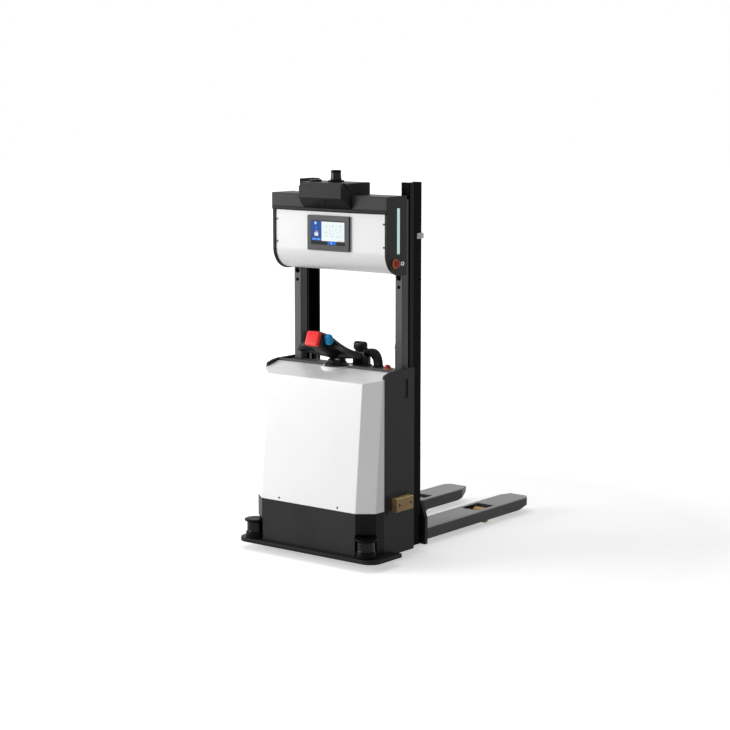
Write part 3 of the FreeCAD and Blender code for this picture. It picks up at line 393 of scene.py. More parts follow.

# %% [markdown]
# ## Moulded plastics
# The head, tiller and plug are moulded in black with a fine texture, each a shade of its own. Buttons
# and throttle are dyed right through, so they show no wear at their edges. One recipe makes them all,
# and only colour, gloss and grain differ.

# %% Black and grey mouldings
# The lip is painted near black, the same painted shade as the cap below its fold, where the cap turns
# under.
lip_black = coating("lip_black", (0.004, 0.004, 0.004), rough=0.35, grain=1500.0, edge=1.0,
                    wear=0.0, specular=0.08)
# The nose's faces that look down get the deep tone as painted shade under the housing.
nose_black = facing_shade("nose_black", (0.018, 0.018, 0.018), (0.003, 0.003, 0.003), (0, 0, -1), 0.3,
                      rough=0.42, grain=1500.0, edge=2.5, wear=0.05, specular=0.08)
bezel_grey = coating("bezel_grey", (0.034, 0.034, 0.035), rough=0.4, edge=2.0, wear=0.05,
                     specular=0.2)
tiller_black = coating("tiller_black", (0.01, 0.01, 0.01), rough=0.34, grain=1500.0, edge=2.0,
                       wear=0.06, specular=0.14)
plug_black = coating("plug_black", (0.006, 0.006, 0.006), rough=0.3, grain=1400.0, wear=0.08,
                     specular=0.16)
hose_grey = coating("hose_grey", (0.024, 0.024, 0.025), rough=0.5, grain=1200.0, edge=0.8,
                    wear=0.06, specular=0.12)
case_grey = coating("case_grey", (0.05, 0.05, 0.055), rough=0.55, edge=2.0)
sensor_grey = coating("sensor_grey", (0.7, 0.7, 0.7), rough=0.4, edge=1.0)
dress(nose_black, "nose_housing")
dress(bezel_grey, "display")
dress(tiller_black, "tiller_pedestal")
dress(case_grey, "battery_pack", "control_box")
dress(sensor_grey, "height_sensor")
print("mouldings done")

# %% Cap of the head, with painted shade below its fold
cap_black = coating("cap_black", (0.03, 0.03, 0.03), rough=0.42, grain=1500.0, edge=2.5,
                    wear=0.04, specular=0.1)
fold_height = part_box("head_cap")[0].z + 15 * MM
[cap_z] = cap_black.axes("z")
# Below the fold height the cap is painted near black: painted shade where the cap turns under.
dress(cap_black.lay(cap_z.below(fold_height), (0.004, 0.004, 0.004)), "head_cap")
print("cap folds at", round(fold_height, 3), "m")

# %% Buttons, collars and throttle
red = coating("red_plastic", (0.84, 0.03, 0.03), rough=0.36, grain=700.0, depth=0.01, edge=2.5,
              drift=0.04, wear=0.0, coat=0.05, specular=0.15)
stop_red = coating("stop_red", (0.34, 0.01, 0.01), rough=0.36, grain=700.0, depth=0.01, edge=1.5,
                   drift=0.06, wear=0.0, specular=0.3)
blue = coating("blue_plastic", (0.008, 0.3, 0.66), rough=0.36, grain=700.0, depth=0.01, edge=2.0,
               drift=0.05, wear=0.0, coat=0.1, specular=0.25)
amber_collar = coating("amber_collar", (0.5, 0.16, 0.02), rough=0.4, grain=900.0, edge=1.0)
dress(amber_collar, "head_estop_collar", "deck_estop_collar")
print("button plastics ready")

# %% [markdown]
# ## Treads and metals
# Tyres and rollers are cast polyurethane: dense, faintly waxy, amber under the forks and dark under
# the body. The lift runs on chromed rods and on chains and sheaves of steel, yokes are cast, and the
# charging block is brass, dulled by handling. Bare metal has a recipe of its own, since its colour
# lies in its reflection.

# %% Treads
amber = coating("amber_polyurethane", (0.42, 0.2, 0.045), rough=0.4, grain=400.0, depth=0.05,
                edge=1.5, drift=0.15, wear=0.0, coat=0.1)
tread = coating("dark_polyurethane", (0.06, 0.03, 0.02), rough=0.5, grain=400.0, depth=0.08,
                edge=2.0, drift=0.2, wear=0.2)
dress(amber, "load_roller_left", "load_roller_right")
dress(tread, "drive_wheel", "caster_wheel_left", "caster_wheel_right")
print("treads done")

# %% Metals and castings
chrome = metal("chrome_rod", (0.78, 0.79, 0.8), rough=0.12, lines=(1, 1, 0.2), stain=0.1)
steel = metal("turned_steel", (0.45, 0.45, 0.46), rough=0.32)
zinc = metal("black_screws", (0.05, 0.05, 0.05), rough=0.45, lines=(8, 8, 8))
cast = coating("cast_black", (0.03, 0.03, 0.032), rough=0.5, grain=300.0, depth=0.25, edge=2.0,
               wear=0.3, specular=0.3)
motor_grey = coating("motor_grey", (0.11, 0.115, 0.12), rough=0.45, grain=350.0, depth=0.2,
                     edge=2.0, wear=0.2)
dress(chrome, "lift_rods")
dress(steel, "chain_sheaves", "guide_rollers_upper", "guide_rollers_lower")
dress(zinc, "screws")
dress(cast, "drive_yoke", "caster_fork_left", "caster_fork_right")
chain_steel = metal("oiled_chain", (0.2, 0.19, 0.175), rough=0.38, lines=(4, 4, 4), stain=0.55)
dress(motor_grey, "drive_motor", "steer_motor", "hydraulic_unit")
dress(chain_steel, "chain_wraps")
print("metals done")


# %% Brass contact, with painted light on its top
def brass_finish():
    """Dull brass, cloudy all over: pale gold on top as painted light, brown on the side faces as
    painted shade.
    """
    paint = Paint("dulled_brass")
    grain = paint.noise(60.0, 5.0, stretch=(1, 0.3, 30))
    cloud = paint.noise(30.0, 4.0).ramp(0.3, 0.7)
    side = paint.mix(cloud, (0.17, 0.105, 0.04), (0.26, 0.17, 0.07))
    top = paint.mix(cloud, (0.6, 0.42, 0.18), (0.7, 0.52, 0.25))
    # The facing mask paints the top as lit and the sides as shaded.
    paint.set(Base_Color=paint.mix(paint.facing((0, 0, 1)).ramp(0.3, 0.8), side, top))
    paint.set(Roughness=(grain - 0.5) * 0.3 + 0.45, Metallic=0.35, Specular_IOR_Level=0.3)
    return paint.bump(grain, 0.05 * MM, 0.5, paint.edge_normal(1.2 * MM))


dress(brass_finish(), "charge_contact")
print("contact done")

# %% [markdown]
# ## Windows and light bars
# Scanner windows are smoked plastic so dark that they only show reflections. The light bars are rows
# of lamps behind a pale diffuser. A cosine up the bar gives the rows without one lamp per dot.

# %% Smoked windows and light bars
smoked = coating("smoked_window", (0.002, 0.002, 0.0025), rough=0.12, grain=500.0, depth=0.003,
                 edge=0.8, wear=0.0, specular=0.18)
dress(smoked, "nose_camera")


def lamp_finish(dot_pitch=0.016):
    """Pale diffuser: brightness is a cosine of the height, with one dot per pitch in metres."""
    paint = Paint("light_bar")
    [z] = paint.axes("z")
    beat = (z * (2 * math.pi / dot_pitch)).maths("COSINE") * 0.5 + 0.5
    glow = beat * 0.25 + 0.75
    colour = paint.mix(paint.noise(90.0).ramp(0.3, 0.7), (0.62, 0.86, 0.84), (0.7, 0.92, 0.9))
    paint.set(Base_Color=colour, Roughness=glow * 0.3 + 0.1)
    paint.set(Emission_Color=paint.mix(glow, (0.2, 0.3, 0.3), (0.66, 0.95, 0.92)))
    paint.set(Emission_Strength=0.35, Coat_Weight=0.3)
    return paint.bump(glow, 0.2 * MM, 0.4, paint.edge_normal(1.5 * MM))


dress(lamp_finish(), "light_bars")
print("windows and lamps done")

# %% [markdown]
# ## The screen
# The screen is lit from inside and shows a control page. A picture file would have to be drawn and
# packed, so the page is painted in layers of rectangles and discs instead, each one a mask worked
# out from the place on the glass. All of them are generic.


# %% The screen's picture
def screen_finish(wide_to_tall=1.81):
    """A control page: u and v run from 0 to 1 across and up the glass, and layers cover each other."""
    paint = Paint("screen_page")
    x, z = paint.axes("xz")
    low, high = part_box("display_screen")
    u = (x - low.x) / (high.x - low.x)
    v = (z - low.z) / (high.z - low.z)

    def block(u0, u1, v0, v1):
        """1 inside a rectangle, as two limits on u times two limits on v."""
        return u.between(u0, u1) * v.between(v0, v1)

    def disc(u0, v0, radius):
        """1 where the squared distance to the centre is under the squared radius."""
        du = (u - u0) * wide_to_tall
        dv = v - v0
        return (du * du + dv * dv).below(radius * radius)

    column = paint.mix(v.ramp(0.1, 0.5), (0.0, 0.012, 0.1), (0.0, 0.06, 0.34))
    two_keys = block(0.03, 0.28, 0.18, 0.27) * (1.0 - block(0.15, 0.165, 0.1, 0.3))
    map_lines = paint.noise(120.0, 2.0, stretch=(1, 1, 1.6)).ramp(0.56, 0.6)
    shelves = [(0.44, 0.49, 0.78, 0.81), (0.62, 0.67, 0.77, 0.8), (0.84, 0.89, 0.79, 0.82),
               (0.44, 0.48, 0.52, 0.55), (0.45, 0.49, 0.36, 0.39), (0.6, 0.64, 0.35, 0.37),
               (0.78, 0.82, 0.34, 0.37)]
    layers = [(block(0, 0.31, 0.16, 0.98), column),
              (disc(0.13, 0.9, 0.06), (0.45, 0.72, 1.0)),
              (disc(0.145, 0.7, 0.035), (0.06, 0.3, 0.85)),
              (block(0.1, 0.21, 0.36, 0.5), (0.75, 0.78, 0.85)),
              (block(0.12, 0.2, 0.5, 0.58), (0.45, 0.25, 0.2)),
              (two_keys, (0.08, 0.3, 0.85)),
              (block(0.31, 0.985, 0.16, 0.97), (0.86, 0.92, 0.92)),
              (map_lines * block(0.36, 0.94, 0.3, 0.86) * 0.5, (0.25, 0.55, 0.55)),
              *[(block(*shelf) * 0.7, (0.12, 0.45, 0.48)) for shelf in shelves],
              (block(0.8, 0.98, 0.17, 0.22), (0.75, 0.68, 0.6)),
              (block(0.49, 0.74, 0.01, 0.155), (0.0, 0.12, 0.62)),
              (disc(0.6, 0.08, 0.04), (0.25, 0.55, 1.0))]
    page = (0.004, 0.005, 0.008)
    for mask, colour in layers:
        page = paint.mix(mask, page, colour)
    smear = paint.noise(30.0)
    paint.set(Base_Color=paint.mix(smear, (0.002, 0.002, 0.002), (0.004, 0.004, 0.004)))
    paint.set(Roughness=smear * 0.05 + 0.12, Specular_IOR_Level=0.04)
    paint.set(Emission_Color=page, Emission_Strength=1.0)
    return paint


dress(screen_finish(), "display_screen")
print("screen page drawn")

# %% [markdown]
# ## Surfaces from grids
# The new pieces are surfaces of two parameters. A lathe turns a profile round an axis, a sweep
# carries a rounded section along a path, and a loft stacks such sections in a straight line. All are
# worked out as whole arrays, and one function turns a grid of points into a closed mesh with its
# faces outwards.

# %% Grid and lathe
def new_piece(name, points, faces, finish):
    """A smooth-shaded mesh object at the origin, sharp where faces turn by over 40 degrees."""
    mesh = bpy.data.meshes.new(name)
    mesh.from_pydata(points, [], faces)
    mesh.validate()
    mesh.shade_smooth()
    mesh.set_sharp_from_angle(angle=math.radians(40))
    mesh.materials.append(finish.material)
    piece = bpy.data.objects.new(name, mesh)
    bpy.context.scene.collection.objects.link(piece)
    return piece


def surface(name, grid, body, finish, stands_for=None, closed_u=False):
    """A closed mesh from an array of points: rows along u, columns round v, four points a face.

    The first and last row get a cap each, unless closed_u joins them to one another.
    """
    rows, columns = grid.shape[:2]
    index = np.arange(rows * columns).reshape(rows, columns)
    lower = index if closed_u else index[:-1]
    upper = np.roll(index, -1, 0) if closed_u else index[1:]
    quads = np.stack([lower, np.roll(lower, -1, 1), np.roll(upper, -1, 1), upper], -1)
    faces = [tuple(q) for q in quads.reshape(-1, 4).tolist()]
    if not closed_u:
        faces += [tuple(index[0][::-1].tolist()), tuple(index[-1].tolist())]
    piece = new_piece(name, grid.reshape(-1, 3).tolist(), faces, finish)
    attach(piece, body)
    if stands_for:
        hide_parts(stands_for)
    return piece


def lathe(profile, centre, axis="z", steps=64):
    """Profile of (radius, height) in mm, turned once round an axis through centre.

    Each point goes round a circle: radius times cosine and radius times sine, at its own height.
    """
    radius, height = np.array(profile, float).T * MM
    turn = np.linspace(0, 2 * math.pi, steps, endpoint=False)
    along_cosine = radius[:, None] * np.cos(turn)
    along_sine = radius[:, None] * np.sin(turn)
    level = np.repeat(height[:, None], steps, 1)
    order = {"z": (along_cosine, along_sine, level), "x": (level, along_cosine, along_sine)}
    return np.stack(order[axis], -1) + np.array(centre)


print("grid and lathe ready")


# %% Rounded sections, swept and lofted
def rounded_ring(power, columns):
    """Superellipse: cosine and sine, each raised to 2 / power with its sign kept."""
    turn = np.linspace(0, 2 * math.pi, columns, endpoint=False)
    c, s = np.cos(turn), np.sin(turn)
    return np.sign(c) * np.abs(c) ** (2 / power), np.sign(s) * np.abs(s) ** (2 / power)


def smooth_path(points, steps):
    """Catmull-Rom curve through the points: on each run, a cubic of its four nearest points."""
    p = np.array(points, float)
    p = np.vstack([2 * p[0] - p[1], p, 2 * p[-1] - p[-2]])
    t = np.linspace(0, len(p) - 3, steps)
    i = np.minimum(t.astype(int), len(p) - 4)
    s = (t - i)[:, None]
    a, b, c, d = p[i], p[i + 1], p[i + 2], p[i + 3]
    return 0.5 * (2 * b + (c - a) * s + (2 * a - 5 * b + 4 * c - d) * s ** 2
                  + (3 * b - a - 3 * c + d) * s ** 3)


def sweep(path, across, tall, up, power=2.0, columns=28):
    """Rings square to the path: a path point, plus across times cosine to its side, plus tall
    times sine in the direction that is square to both, which is up or down the up direction.
    """
    ahead = np.gradient(path, axis=0)
    ahead /= np.linalg.norm(ahead, axis=1)[:, None]
    side = np.cross(ahead, np.array(up, float))
    side /= np.linalg.norm(side, axis=1)[:, None]
    over = np.cross(ahead, side)
    c, s = rounded_ring(power, columns)
    return (path[:, None] + side[:, None] * (across[:, None] * c)[..., None]
            + over[:, None] * (tall[:, None] * s)[..., None])


def loft(centres, u, v, half_u, half_v, power=5.0, columns=48):
    """Stacked sections: each centre plus a superellipse of the given half sizes in u and v."""
    c, s = rounded_ring(power, columns)
    half_u, half_v = np.array(half_u, float), np.array(half_v, float)
    return (np.array(centres, float)[:, None] + np.array(u) * (half_u[:, None] * c)[..., None]
            + np.array(v) * (half_v[:, None] * s)[..., None])


def soft_edge(half, radius, depth, steps=6):
    """Half sizes and depths of a block whose far edge is a quarter circle of that radius."""
    bend = np.linspace(0, math.pi / 2, steps)
    sizes = np.concatenate([[half], half - radius * (1 - np.cos(bend))])
    depths = np.concatenate([[0.0], depth - radius + radius * np.sin(bend)])
    return sizes, depths


print("sections ready")

# %% [markdown]
# ## Corner scanners and the navigation scanner
# Each scanner is three things: a matt base, a smoked window that is drawn in at its waist, and a
# capped top. The window is turned on its own so that its gloss stops at the right edge.

# %% Corner scanners
scanner_black = coating("scanner_black", (0.0025, 0.0025, 0.0025), rough=0.36, grain=1200.0,
                        edge=1.0, wear=0.04, specular=0.05)
scanner_parts = {
    "base": ([(0.4, 0), (48.5, 0), (50, 1.5), (50, 24), (49, 27), (47, 31), (45.5, 33), (45, 35)],
             scanner_black),
    "window": ([(45, 35), (44, 36), (43.6, 40), (43.6, 74), (44, 78), (45.5, 80)], smoked),
    "cap": ([(45.5, 80), (46, 84), (48, 85.5), (55, 86.5), (56, 88), (56, 92), (55, 94.5),
             (52.5, 95.7), (20, 95.7), (18, 95.2), (0.4, 95.2)], scanner_black)}
for node in ("scanner_left", "scanner_right"):
    foot = (middle(node).x, middle(node).y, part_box(node)[0].z)
    for part, (profile, finish) in scanner_parts.items():
        surface(f"{node}_{part}", lathe(profile, foot), "chassis", finish, node)
print("corner scanners turned")

# %% Navigation scanner on the nose
lidar_parts = {
    "base": ([(0.4, 0), (40, 0), (41, 1), (41, 6), (39.5, 8), (31, 9), (28.5, 10.5), (28, 13)],
             scanner_black),
    "window": ([(28, 13), (27, 14), (25, 44), (25.4, 46)], smoked),
    "cap": ([(25.4, 46), (25.8, 47), (25.4, 54), (24, 57), (21.5, 58), (0.4, 58)], scanner_black)}
foot = (0.0, middle("nav_lidar").y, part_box("nav_lidar")[0].z)
for part, (profile, finish) in lidar_parts.items():
    surface("nav_lidar_" + part, lathe(profile, foot), "chassis", finish,
            "nav_lidar")
print("navigation scanner turned")

# %% [markdown]
# ## The head's lower lip
# The black cap of the head folds over the white sheet and ends in a rounded lip. The lip is one
# section, a flat oval, carried from cheek to cheek. Its size is a sine raised to a tenth, which stays
# full almost to the ends and then closes in a curve.

# %% Lip under the cap
cap_low, cap_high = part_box("head_cap")
lip_rings = 60
lip_inset = 1 * MM
lip_y = cap_low.y + 4 * MM
lip_z = cap_low.z + 1.5 * MM
lip_half_depth = 5.8 * MM
lip_half_height = 9.5 * MM
lip_path = np.linspace((cap_low.x + lip_inset, lip_y, lip_z),
                       (cap_high.x - lip_inset, lip_y, lip_z), lip_rings)
end_angle = 0.12
lip_size = np.sin(np.linspace(end_angle, math.pi - end_angle, lip_rings)) ** 0.1
lip = sweep(lip_path, lip_half_depth * lip_size, lip_half_height * lip_size, (0, 0, 1), 3.0)
surface("head_lip", lip, "chassis", lip_black)
print("lip from", round(lip_path[0, 0], 3), "to", round(lip_path[-1, 0], 3))

# %% [markdown]
# ## Tiller head
# The hand tiller is one black moulding: a housing that narrows towards its pivot, and a closed loop
# for each hand. The housing is a stack of rounded sections whose top and bottom follow a side view.
# Each loop is an oval section carried round a curve, and a turned boot covers the joint at the foot.
# All of them are measured from the tilt pin.

# %% Tiller housing
sides = {"right": 1, "left": -1}
pin_below_top = 17 * MM
pedestal_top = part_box("tiller_pedestal")[1].z
pin = Vector((0.0, middle("tiller_pedestal").y, pedestal_top - pin_below_top))


def from_pin(points):
    """Points in mm from the tilt pin, as metres in the frame."""
    return np.array(points, float) * MM + np.array(pin)


housing_y = [-173, -171, -166, -150, -125, -100, -76, -50, -26, -8, 8, 22, 31, 35]
housing_top = [138, 142, 144, 140, 132, 124, 114, 94, 74, 58, 45, 34, 26, 20]
housing_low = [72, 67, 62, 48, 33, 19, 6, 0, -7, -10, -10, -4, 4, 11]
housing_half = [36, 39, 41, 42, 41, 39, 36, 31, 26, 22.5, 22, 21, 17, 9]
top = np.array(housing_top, float)
low = np.array(housing_low, float)
housing_centres = from_pin(np.stack([0 * top, housing_y, (top + low) / 2], -1))
housing = loft(housing_centres, (-1, 0, 0), (0, 0, 1), np.array(housing_half) * MM,
               (top - low) / 2 * MM, 3.6)
surface("tiller_housing", housing, "tiller", tiller_black, "tiller_head")
print("tiller housing", housing.shape)

# %% Hand loops
loop_route = [(22, -88, 92), (62, -94, 77), (108, -99, 60), (146, -97, 47), (172, -86, 38),
              (186, -66, 31), (187, -44, 26), (175, -25, 22), (142, -15, 18), (92, -11, 15),
              (20, -12, 12)]


def hand_loop(side, rings=60):
    """Oval section along the loop; it grows with the square of the way from its middle to a root."""
    path = from_pin(smooth_path([(side * x, y, z) for x, y, z in loop_route], rings))
    root = np.linspace(-1, 1, rings) ** 2
    half_wide = (11.5 + 3 * root) * MM
    half_tall = (13.5 + 9 * root) * MM
    return sweep(path, half_wide, half_tall, (0, 0, 1), 2.4)


for side_name, side in sides.items():
    surface("tiller_loop_" + side_name, hand_loop(side), "tiller", tiller_black,
            "tiller_head")
print("hand loops swept")

# %% Boot over the pedestal
boot = [(35, 6), (61, 2), (61, 8), (59, 9.5), (53, 12), (48, 17), (45, 23), (43, 29), (41, 31),
        (35, 31)]
boot_below_pin = 46 * MM
boot_foot = (0.0, pin.y, pin.z - boot_below_pin)
surface("tiller_boot", lathe(boot, boot_foot), "tiller_base", tiller_black,
        closed_u=True)
print("boot turned")

# %% [markdown]
# ## Safety button and thumb throttle
# The red button is a soft-edged block on the tiller's end, and it travels into the housing. The
# throttle is a pair of blue wings on one shaft that the thumbs roll. Both are stacks of rounded
# sections, since a block with a bevel would keep flat faces between its round edges.

# %% Red button
button_lean = math.atan2(25, 70)
button_face = np.array((0.0, -math.cos(button_lean), math.sin(button_lean)))
button_up = np.array((0.0, math.sin(button_lean), math.cos(button_lean)))
button_back = np.array((0.0, -178.6, 103.8))
button_thick = 19.0
button_round = 7.0
half_wide, button_depth = soft_edge(40.0, button_round, button_thick)
half_tall = soft_edge(37.0, button_round, button_thick)[0]
button_centres = from_pin(button_back + button_face * button_depth[:, None])
button = loft(button_centres, (1, 0, 0), button_up, half_wide * MM, half_tall * MM, 8.0)
surface("belly_cap", button, "belly", red, "belly_button")
print("button thickness", button_depth[-1], "mm")

# %% Throttle wings
wing_x = np.array([43.5, 44.0, 46.0, 52.0, 58.0, 64.0, 69.0, 71.5, 72.0])
wing_tall = np.array([20.0, 23.0, 25.0, 26.0, 26.0, 25.0, 23.0, 20.0, 17.0])
wing_deep = np.array([15.0, 18.0, 19.5, 20.0, 20.0, 19.0, 17.5, 15.0, 12.0])
throttle_shaft = np.array((0.0, -132.0, 101.0))
wing_tilt = math.radians(20)
wing_up = np.array((0.0, -math.sin(wing_tilt), math.cos(wing_tilt)))
wing_front = np.array((0.0, -math.cos(wing_tilt), -math.sin(wing_tilt)))
for side_name, side in sides.items():
    wing_centres = from_pin(throttle_shaft + np.outer(side * wing_x, (1, 0, 0)))
    wing = loft(wing_centres, side * wing_up, wing_front, wing_tall * MM, wing_deep * MM, 3.4)
    surface("throttle_wing_" + side_name, wing, "throttle", blue,
            "throttle_wheels")
print("throttle wings", round(wing_x[-1] - wing_x[0], 1), "mm wide")

# %% [markdown]
# ## Deck plug and hose
# A rectangular industrial plug stands on the deck. Its socket is bolted down by a flange, the hood
# sits on the socket with a locking lever, and a gland holds the hose. The hose is corrugated: its
# radius rises and falls by a cosine along the route, and it widens on its way into the bend.

# %% Plug
plug_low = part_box("deck_connector")[0]
plug_y = middle("deck_connector").y


def plug_block(name, x0, x1, half_y, z0, z1, radius, power):
    """Soft-topped block in mm between two heights over the deck, its top edge a quarter circle."""
    sizes_x, heights = soft_edge((x1 - x0) / 2, radius, z1 - z0)
    sizes_y = soft_edge(half_y, radius, z1 - z0)[0]
    centres = np.array([((x0 + x1) / 2, plug_y / MM, plug_low.z / MM + z0)] * len(heights))
    centres[:, 2] += heights
    grid = loft(centres * MM, (1, 0, 0), (0, 1, 0), sizes_x * MM, sizes_y * MM, power)
    surface(name, grid, "chassis", plug_black, "deck_connector")


plug_block("plug_flange", 20, 126, 21, 0, 8, 2, 9.0)
plug_block("plug_socket", 26, 120, 20, 8, 50, 8, 6.0)
plug_block("plug_waist", 38, 106, 16, 42, 84, 3, 4.0)
plug_block("plug_hood", 28, 104, 20, 80, 119.5, 14, 3.2)
plug_block("plug_lever", 60, 82, 21, 40, 106, 5, 5.0)
gland = [(6, 94), (19, 94), (20.5, 96), (20.5, 108), (17, 110), (17, 113), (19.5, 114),
         (19.5, 124), (18, 127), (12, 128)]
gland_height = 67.7 * MM
gland_centre = (0.0, plug_y, plug_low.z + gland_height)
gland_corners = 12
surface("plug_gland", lathe(gland, gland_centre, "x", gland_corners), "chassis", plug_black,
        "deck_connector")
print("plug built")

# %% Hose
hose_rings = 260
hose_route = [(116, 0, 68), (132, 0, 68), (150, 0, 63), (164, 0, 51), (172, 0, 33), (175, 0, 13),
              (175, 0, 2)]
hose_y = plug_y + 4 * MM
hose_path = smooth_path(hose_route, hose_rings) * MM + np.array((0.0, hose_y, plug_low.z))
run = np.concatenate([[0], np.cumsum(np.linalg.norm(np.diff(hose_path, axis=0), axis=1))])
ripple_pitch = 6 * MM
ripple = 0.8 * np.cos(run * 2 * math.pi / ripple_pitch)
widening_run = 45 * MM
way = np.clip(run / widening_run, 0, 1)
widening = way * way * (3 - 2 * way)
hose_half_wide = (17.5 + 8.5 * widening + ripple) * MM
hose_half_deep = (16.5 + widening + ripple) * MM
surface("hose", sweep(hose_path, hose_half_wide, hose_half_deep, (0, 1, 0), 2.2, 32), "chassis",
        hose_grey, "conduit")
foot_ring = [(19, 0), (27, 0), (28, 1), (28, 4), (26, 6), (21, 7), (19, 6)]
foot_gap = 0.2 * MM
hose_foot = (hose_route[-1][0] * MM, hose_y, plug_low.z + foot_gap)
surface("hose_flange", lathe(foot_ring, hose_foot), "chassis", plug_black, "conduit",
        closed_u=True)
print("hose length", round(run[-1], 3), "m")

# %% [markdown]
# ## Stop buttons and the key
# A stop button is a flared mushroom on an amber collar. The key switch is a chromed ring round a
# dark barrel with a slot. All of them are turned on a lathe and ride on the part that moves.

# %% Mushroom heads
mushroom = [(0.4, 0), (10, 0), (10, 10), (11, 14), (15, 17), (17.6, 19), (18, 21), (17.6, 24),
            (15, 28), (9, 31.5), (0.4, 33)]
mushroom_radius = 18
mushroom_height = 33 * MM


def foot_of(node, axis):
    """Middle of the face at the low end of a node's box along an axis."""
    foot = middle(node)
    foot["xyz".index(axis)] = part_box(node)[0]["xyz".index(axis)]
    return foot


def mushroom_head(node, axis, radius):
    """The mushroom outline, stretched to a node's length along its axis and to a radius in mm."""
    low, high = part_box(node)
    stretch = (high - low)["xyz".index(axis)] / mushroom_height
    profile = [(r * radius / mushroom_radius, h * stretch) for r, h in mushroom]
    return lathe(profile, foot_of(node, axis), axis)


surface("head_stop_mushroom", mushroom_head("head_estop_button", "x", 18), "head_stop", stop_red,
        "head_estop_button")
surface("deck_stop_mushroom", mushroom_head("deck_estop_button", "z", 16), "deck_stop", stop_red,
        "deck_estop_button")
print("stop buttons turned")

# %% Key switch
key_foot = foot_of("key_switch", "x")
key_steps = 48
key_ring = [(7.5, 0), (11, 0), (11, 12), (10, 14.5), (8.5, 15), (7.5, 14)]
surface("key_ring", lathe(key_ring, key_foot, "x", key_steps), "key", chrome,
        "key_switch", closed_u=True)
key_barrel = [(0.4, 0), (7.4, 0), (7.4, 12.6), (6.8, 13.2), (0.4, 13.2)]
surface("key_barrel", lathe(key_barrel, key_foot, "x", key_steps), "key", plug_black,
        "key_switch")
blade_path = np.array([(13.2, 0, 0), (16.4, 0, 0), (17.0, 0, 0)]) * MM + np.array(key_foot)
blade_half_thick = np.array([1.3, 1.3, 0.8]) * MM
blade_half_wide = np.array([5.6, 5.6, 5.0]) * MM
surface("key_blade", loft(blade_path, (0, 1, 0), (0, 0, 1), blade_half_thick, blade_half_wide, 5.0,
                          24), "key", steel, "key_switch")
print("key switch turned")

# %% [markdown]
# ## Lift chains
# A leaf chain is rows of flat plates on pins. One outline, a plate with round ends, is copied up
# the run at each pitch and across it at each leaf. On the lift, the front run is fixed to the mast
# below and goes over a sheave that rises with the rods, so it lengthens as the lift rises, and the rear
# run hangs from that sheave to the carriage and shortens, since the carriage rises twice as fast as the
# rods, which rise by 0.75 m in all. Here each run keeps its length: the front run stays on the mast
# and the rear run rides with the carriage.

# %% Leaf plates
leaf_thick = 1.4 * MM
leaf_places = np.array([-3.2, -1.4, 0.0, 1.8]) * MM


def leaf_run(name, x, node, pitch=16 * MM, ends=6):
    """Plates along z, each an outline drawn out by its thickness, with every second one half a
    pitch lower. The outline is a half circle round each of two pins and the straight sides between.
    """
    low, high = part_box(node)
    y, half = (low.y + high.y) / 2, (high.y - low.y) / 2
    count = int((high.z - low.z - 2 * half) / pitch)
    turn = np.linspace(0, math.pi, ends)
    outline = np.concatenate([np.stack([half * np.cos(turn), pitch + half * np.sin(turn)], -1),
                              np.stack([-half * np.cos(turn), -half * np.sin(turn)], -1)])
    corners = len(outline)
    leaf = np.arange(len(leaf_places))
    link = np.arange(count)
    stagger = np.where(leaf % 2 == 0, 0.0, 0.5) * pitch
    height = low.z + half + pitch * link[:, None] - stagger
    plates = np.zeros((count, len(leaf), 2, corners, 3))
    plates[..., 0, :, 0] = x + leaf_places[:, None]
    plates[..., 1, :, 0] = x + leaf_places[:, None] + leaf_thick
    plates[..., 1] = y + outline[:, 0]
    plates[..., 2] = height[..., None, None] + outline[:, 1]
    plates[..., 2] = np.clip(plates[..., 2], low.z, high.z)
    base = np.arange(count * len(leaf)) * 2 * corners
    ring = np.arange(corners)
    sides = np.stack([ring, np.roll(ring, -1), np.roll(ring, -1) + corners, ring + corners], -1)
    quads = (base[:, None, None] + sides).reshape(-1, 4).tolist()
    back = (base[:, None] + ring[::-1]).tolist()
    front = (base[:, None] + ring + corners).tolist()
    return new_piece(name, plates.reshape(-1, 3).tolist(), quads + back + front, chain_steel)


rear_low, rear_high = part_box("chain_rear")
chain_half = 3.4 * MM
for side_name, side in sides.items():
    x = side * (rear_high.x - chain_half)
    front_run = leaf_run("chain_front_" + side_name, x, "chain_front")
    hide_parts("chain_front")
    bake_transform(front_run)
    rear_run = leaf_run("chain_rear_" + side_name, x, "chain_rear")
    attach(rear_run, "carriage")
    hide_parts("chain_rear")
    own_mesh(rear_run)

# %% [markdown]
# ## Rounded edges
# Sheet and moulded parts have no knife edges. A Weld modifier joins the loose triangles of an
# engineering node, and a Bevel modifier then rounds every edge sharper than a set angle.

# %% Weld and bevel
def round_edges(width, *names):
    """Rounds the nodes' sharp edges by width mm with three facets; their own meshes stay."""
    for name in names:
        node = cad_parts[name]
        weld = node.modifiers.new("weld", "WELD")
        weld.merge_threshold = 0.01 * MM
        bevel = node.modifiers.new("bevel", "BEVEL")
        bevel.width = width * MM
        bevel.segments = 3
        bevel.limit_method = "ANGLE"
        bevel.angle_limit = math.radians(35)
        bevel.harden_normals = False


round_edges(2.5, "nose_housing", "head_cap", "bumper_plate", "display")
print("edges rounded")

# %% [markdown]
# ## The floor, the light and the camera
# The floor is a plain pale sheet that keeps the machine's soft shadow. One large lamp stands to the
# left of the front, so the front face is the brightest and the right side falls away. The world
# fills the shadows, and shows plain white to the camera, to gloss and to glass.

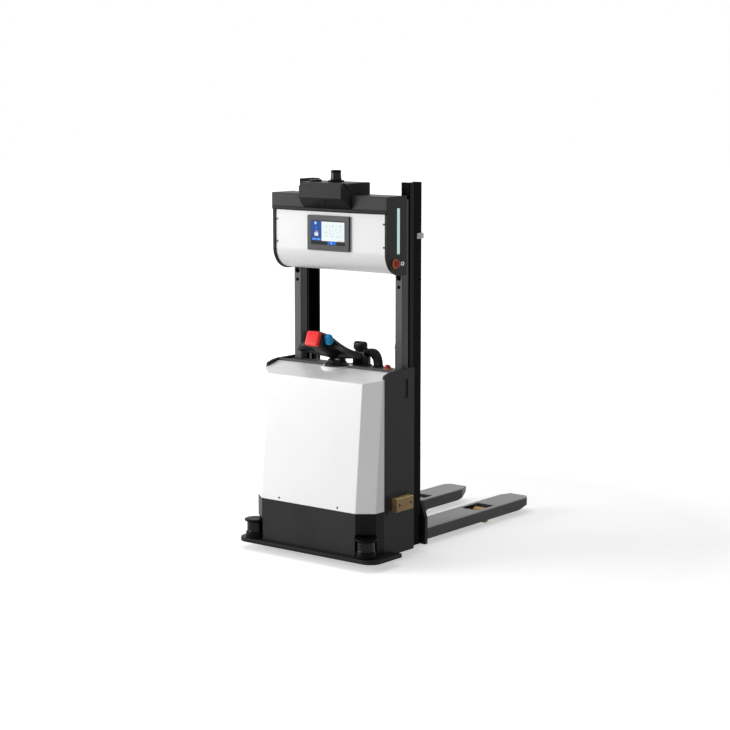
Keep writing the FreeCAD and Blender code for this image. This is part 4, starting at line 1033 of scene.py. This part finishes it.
# %% Floor and backdrop
def make_floor(near=1.6, far=4.5, size=40.0):
    """Pale sheet. What the camera, gloss and glass see of it rises to white with distance."""
    paint = Paint("studio_floor")
    paint.set(Base_Color=paint.mix(paint.noise(2.0), (0.8, 0.8, 0.8), (0.82, 0.82, 0.82)))
    paint.set(Roughness=0.9, Specular_IOR_Level=0.05)
    x, y = paint.axes("xy")
    distance = (x * x + y * y).power(0.5)
    glow = paint.backdrop_ray() * distance.ramp(near, far, 0.5, 1.05)
    paint.set(Emission_Color=paint.mix(glow, (0, 0, 0), (1, 1, 1)), Emission_Strength=1.0)
    grid = np.array([[(-size, -size, 0), (size, -size, 0)], [(-size, size, 0), (size, size, 0)]])
    mesh = bpy.data.meshes.new("studio_floor")
    mesh.from_pydata(grid.reshape(-1, 3).tolist(), [], [(0, 1, 3, 2)])
    mesh.materials.append(paint.material)
    floor = bpy.data.objects.new("studio_floor", mesh)
    bpy.context.scene.collection.objects.link(floor)


make_floor()
print("floor laid")


# %% World and lamps
def make_world(fill=0.3, shown=1.0):
    """White world: strength fill for the light on things, shown for camera, gloss and glass."""
    world = bpy.data.worlds.new("studio")
    world.use_nodes = True
    bpy.context.scene.world = world
    sky = Nodes(world.node_tree)
    background = sky.tree.nodes["Background"]
    sky.fill(background.inputs["Color"], (1, 1, 1))
    sky.fill(background.inputs["Strength"], sky.backdrop_ray().ramp(0, 1, fill, shown))


def aim(thing, place, target):
    """Puts a lamp or camera at a place and turns its view onto the target."""
    thing.location = place
    thing.rotation_euler = (Vector(target) - Vector(place)).to_track_quat("-Z", "Y").to_euler()


def lamp(name, place, target, size, power):
    """Rectangular lamp: size in metres, power in watts."""
    light = bpy.data.lights.new(name, "AREA")
    light.shape = "RECTANGLE"
    light.size, light.size_y = size
    light.energy = power
    thing = bpy.data.objects.new(name, light)
    bpy.context.scene.collection.objects.link(thing)
    aim(thing, place, target)


make_world()
lamp("key_left_front", place=(-5.2, -5.6, 2.2), target=(0, -0.4, 0.8), size=(4.5, 3.0), power=425)
lamp("top_softbox", place=(-0.5, -1.5, 5.5), target=(0, -0.3, 0.6), size=(4.0, 4.0), power=90)
print("lamps placed")

# %% Camera
camera_data = bpy.data.cameras.new("studio_camera")
camera_data.lens = 94.03
camera_data.sensor_width = 36.0
camera_data.clip_end = 100.0
camera = bpy.data.objects.new("studio_camera", camera_data)
bpy.context.scene.collection.objects.link(camera)
aim(camera, place=(5.9124, -7.8673, 2.3355), target=(-0.0143, -0.3022, 0.9198))
bpy.context.scene.camera = camera
bpy.context.scene.view_settings.view_transform = "Standard"
print("camera at", [round(v, 3) for v in camera.location])
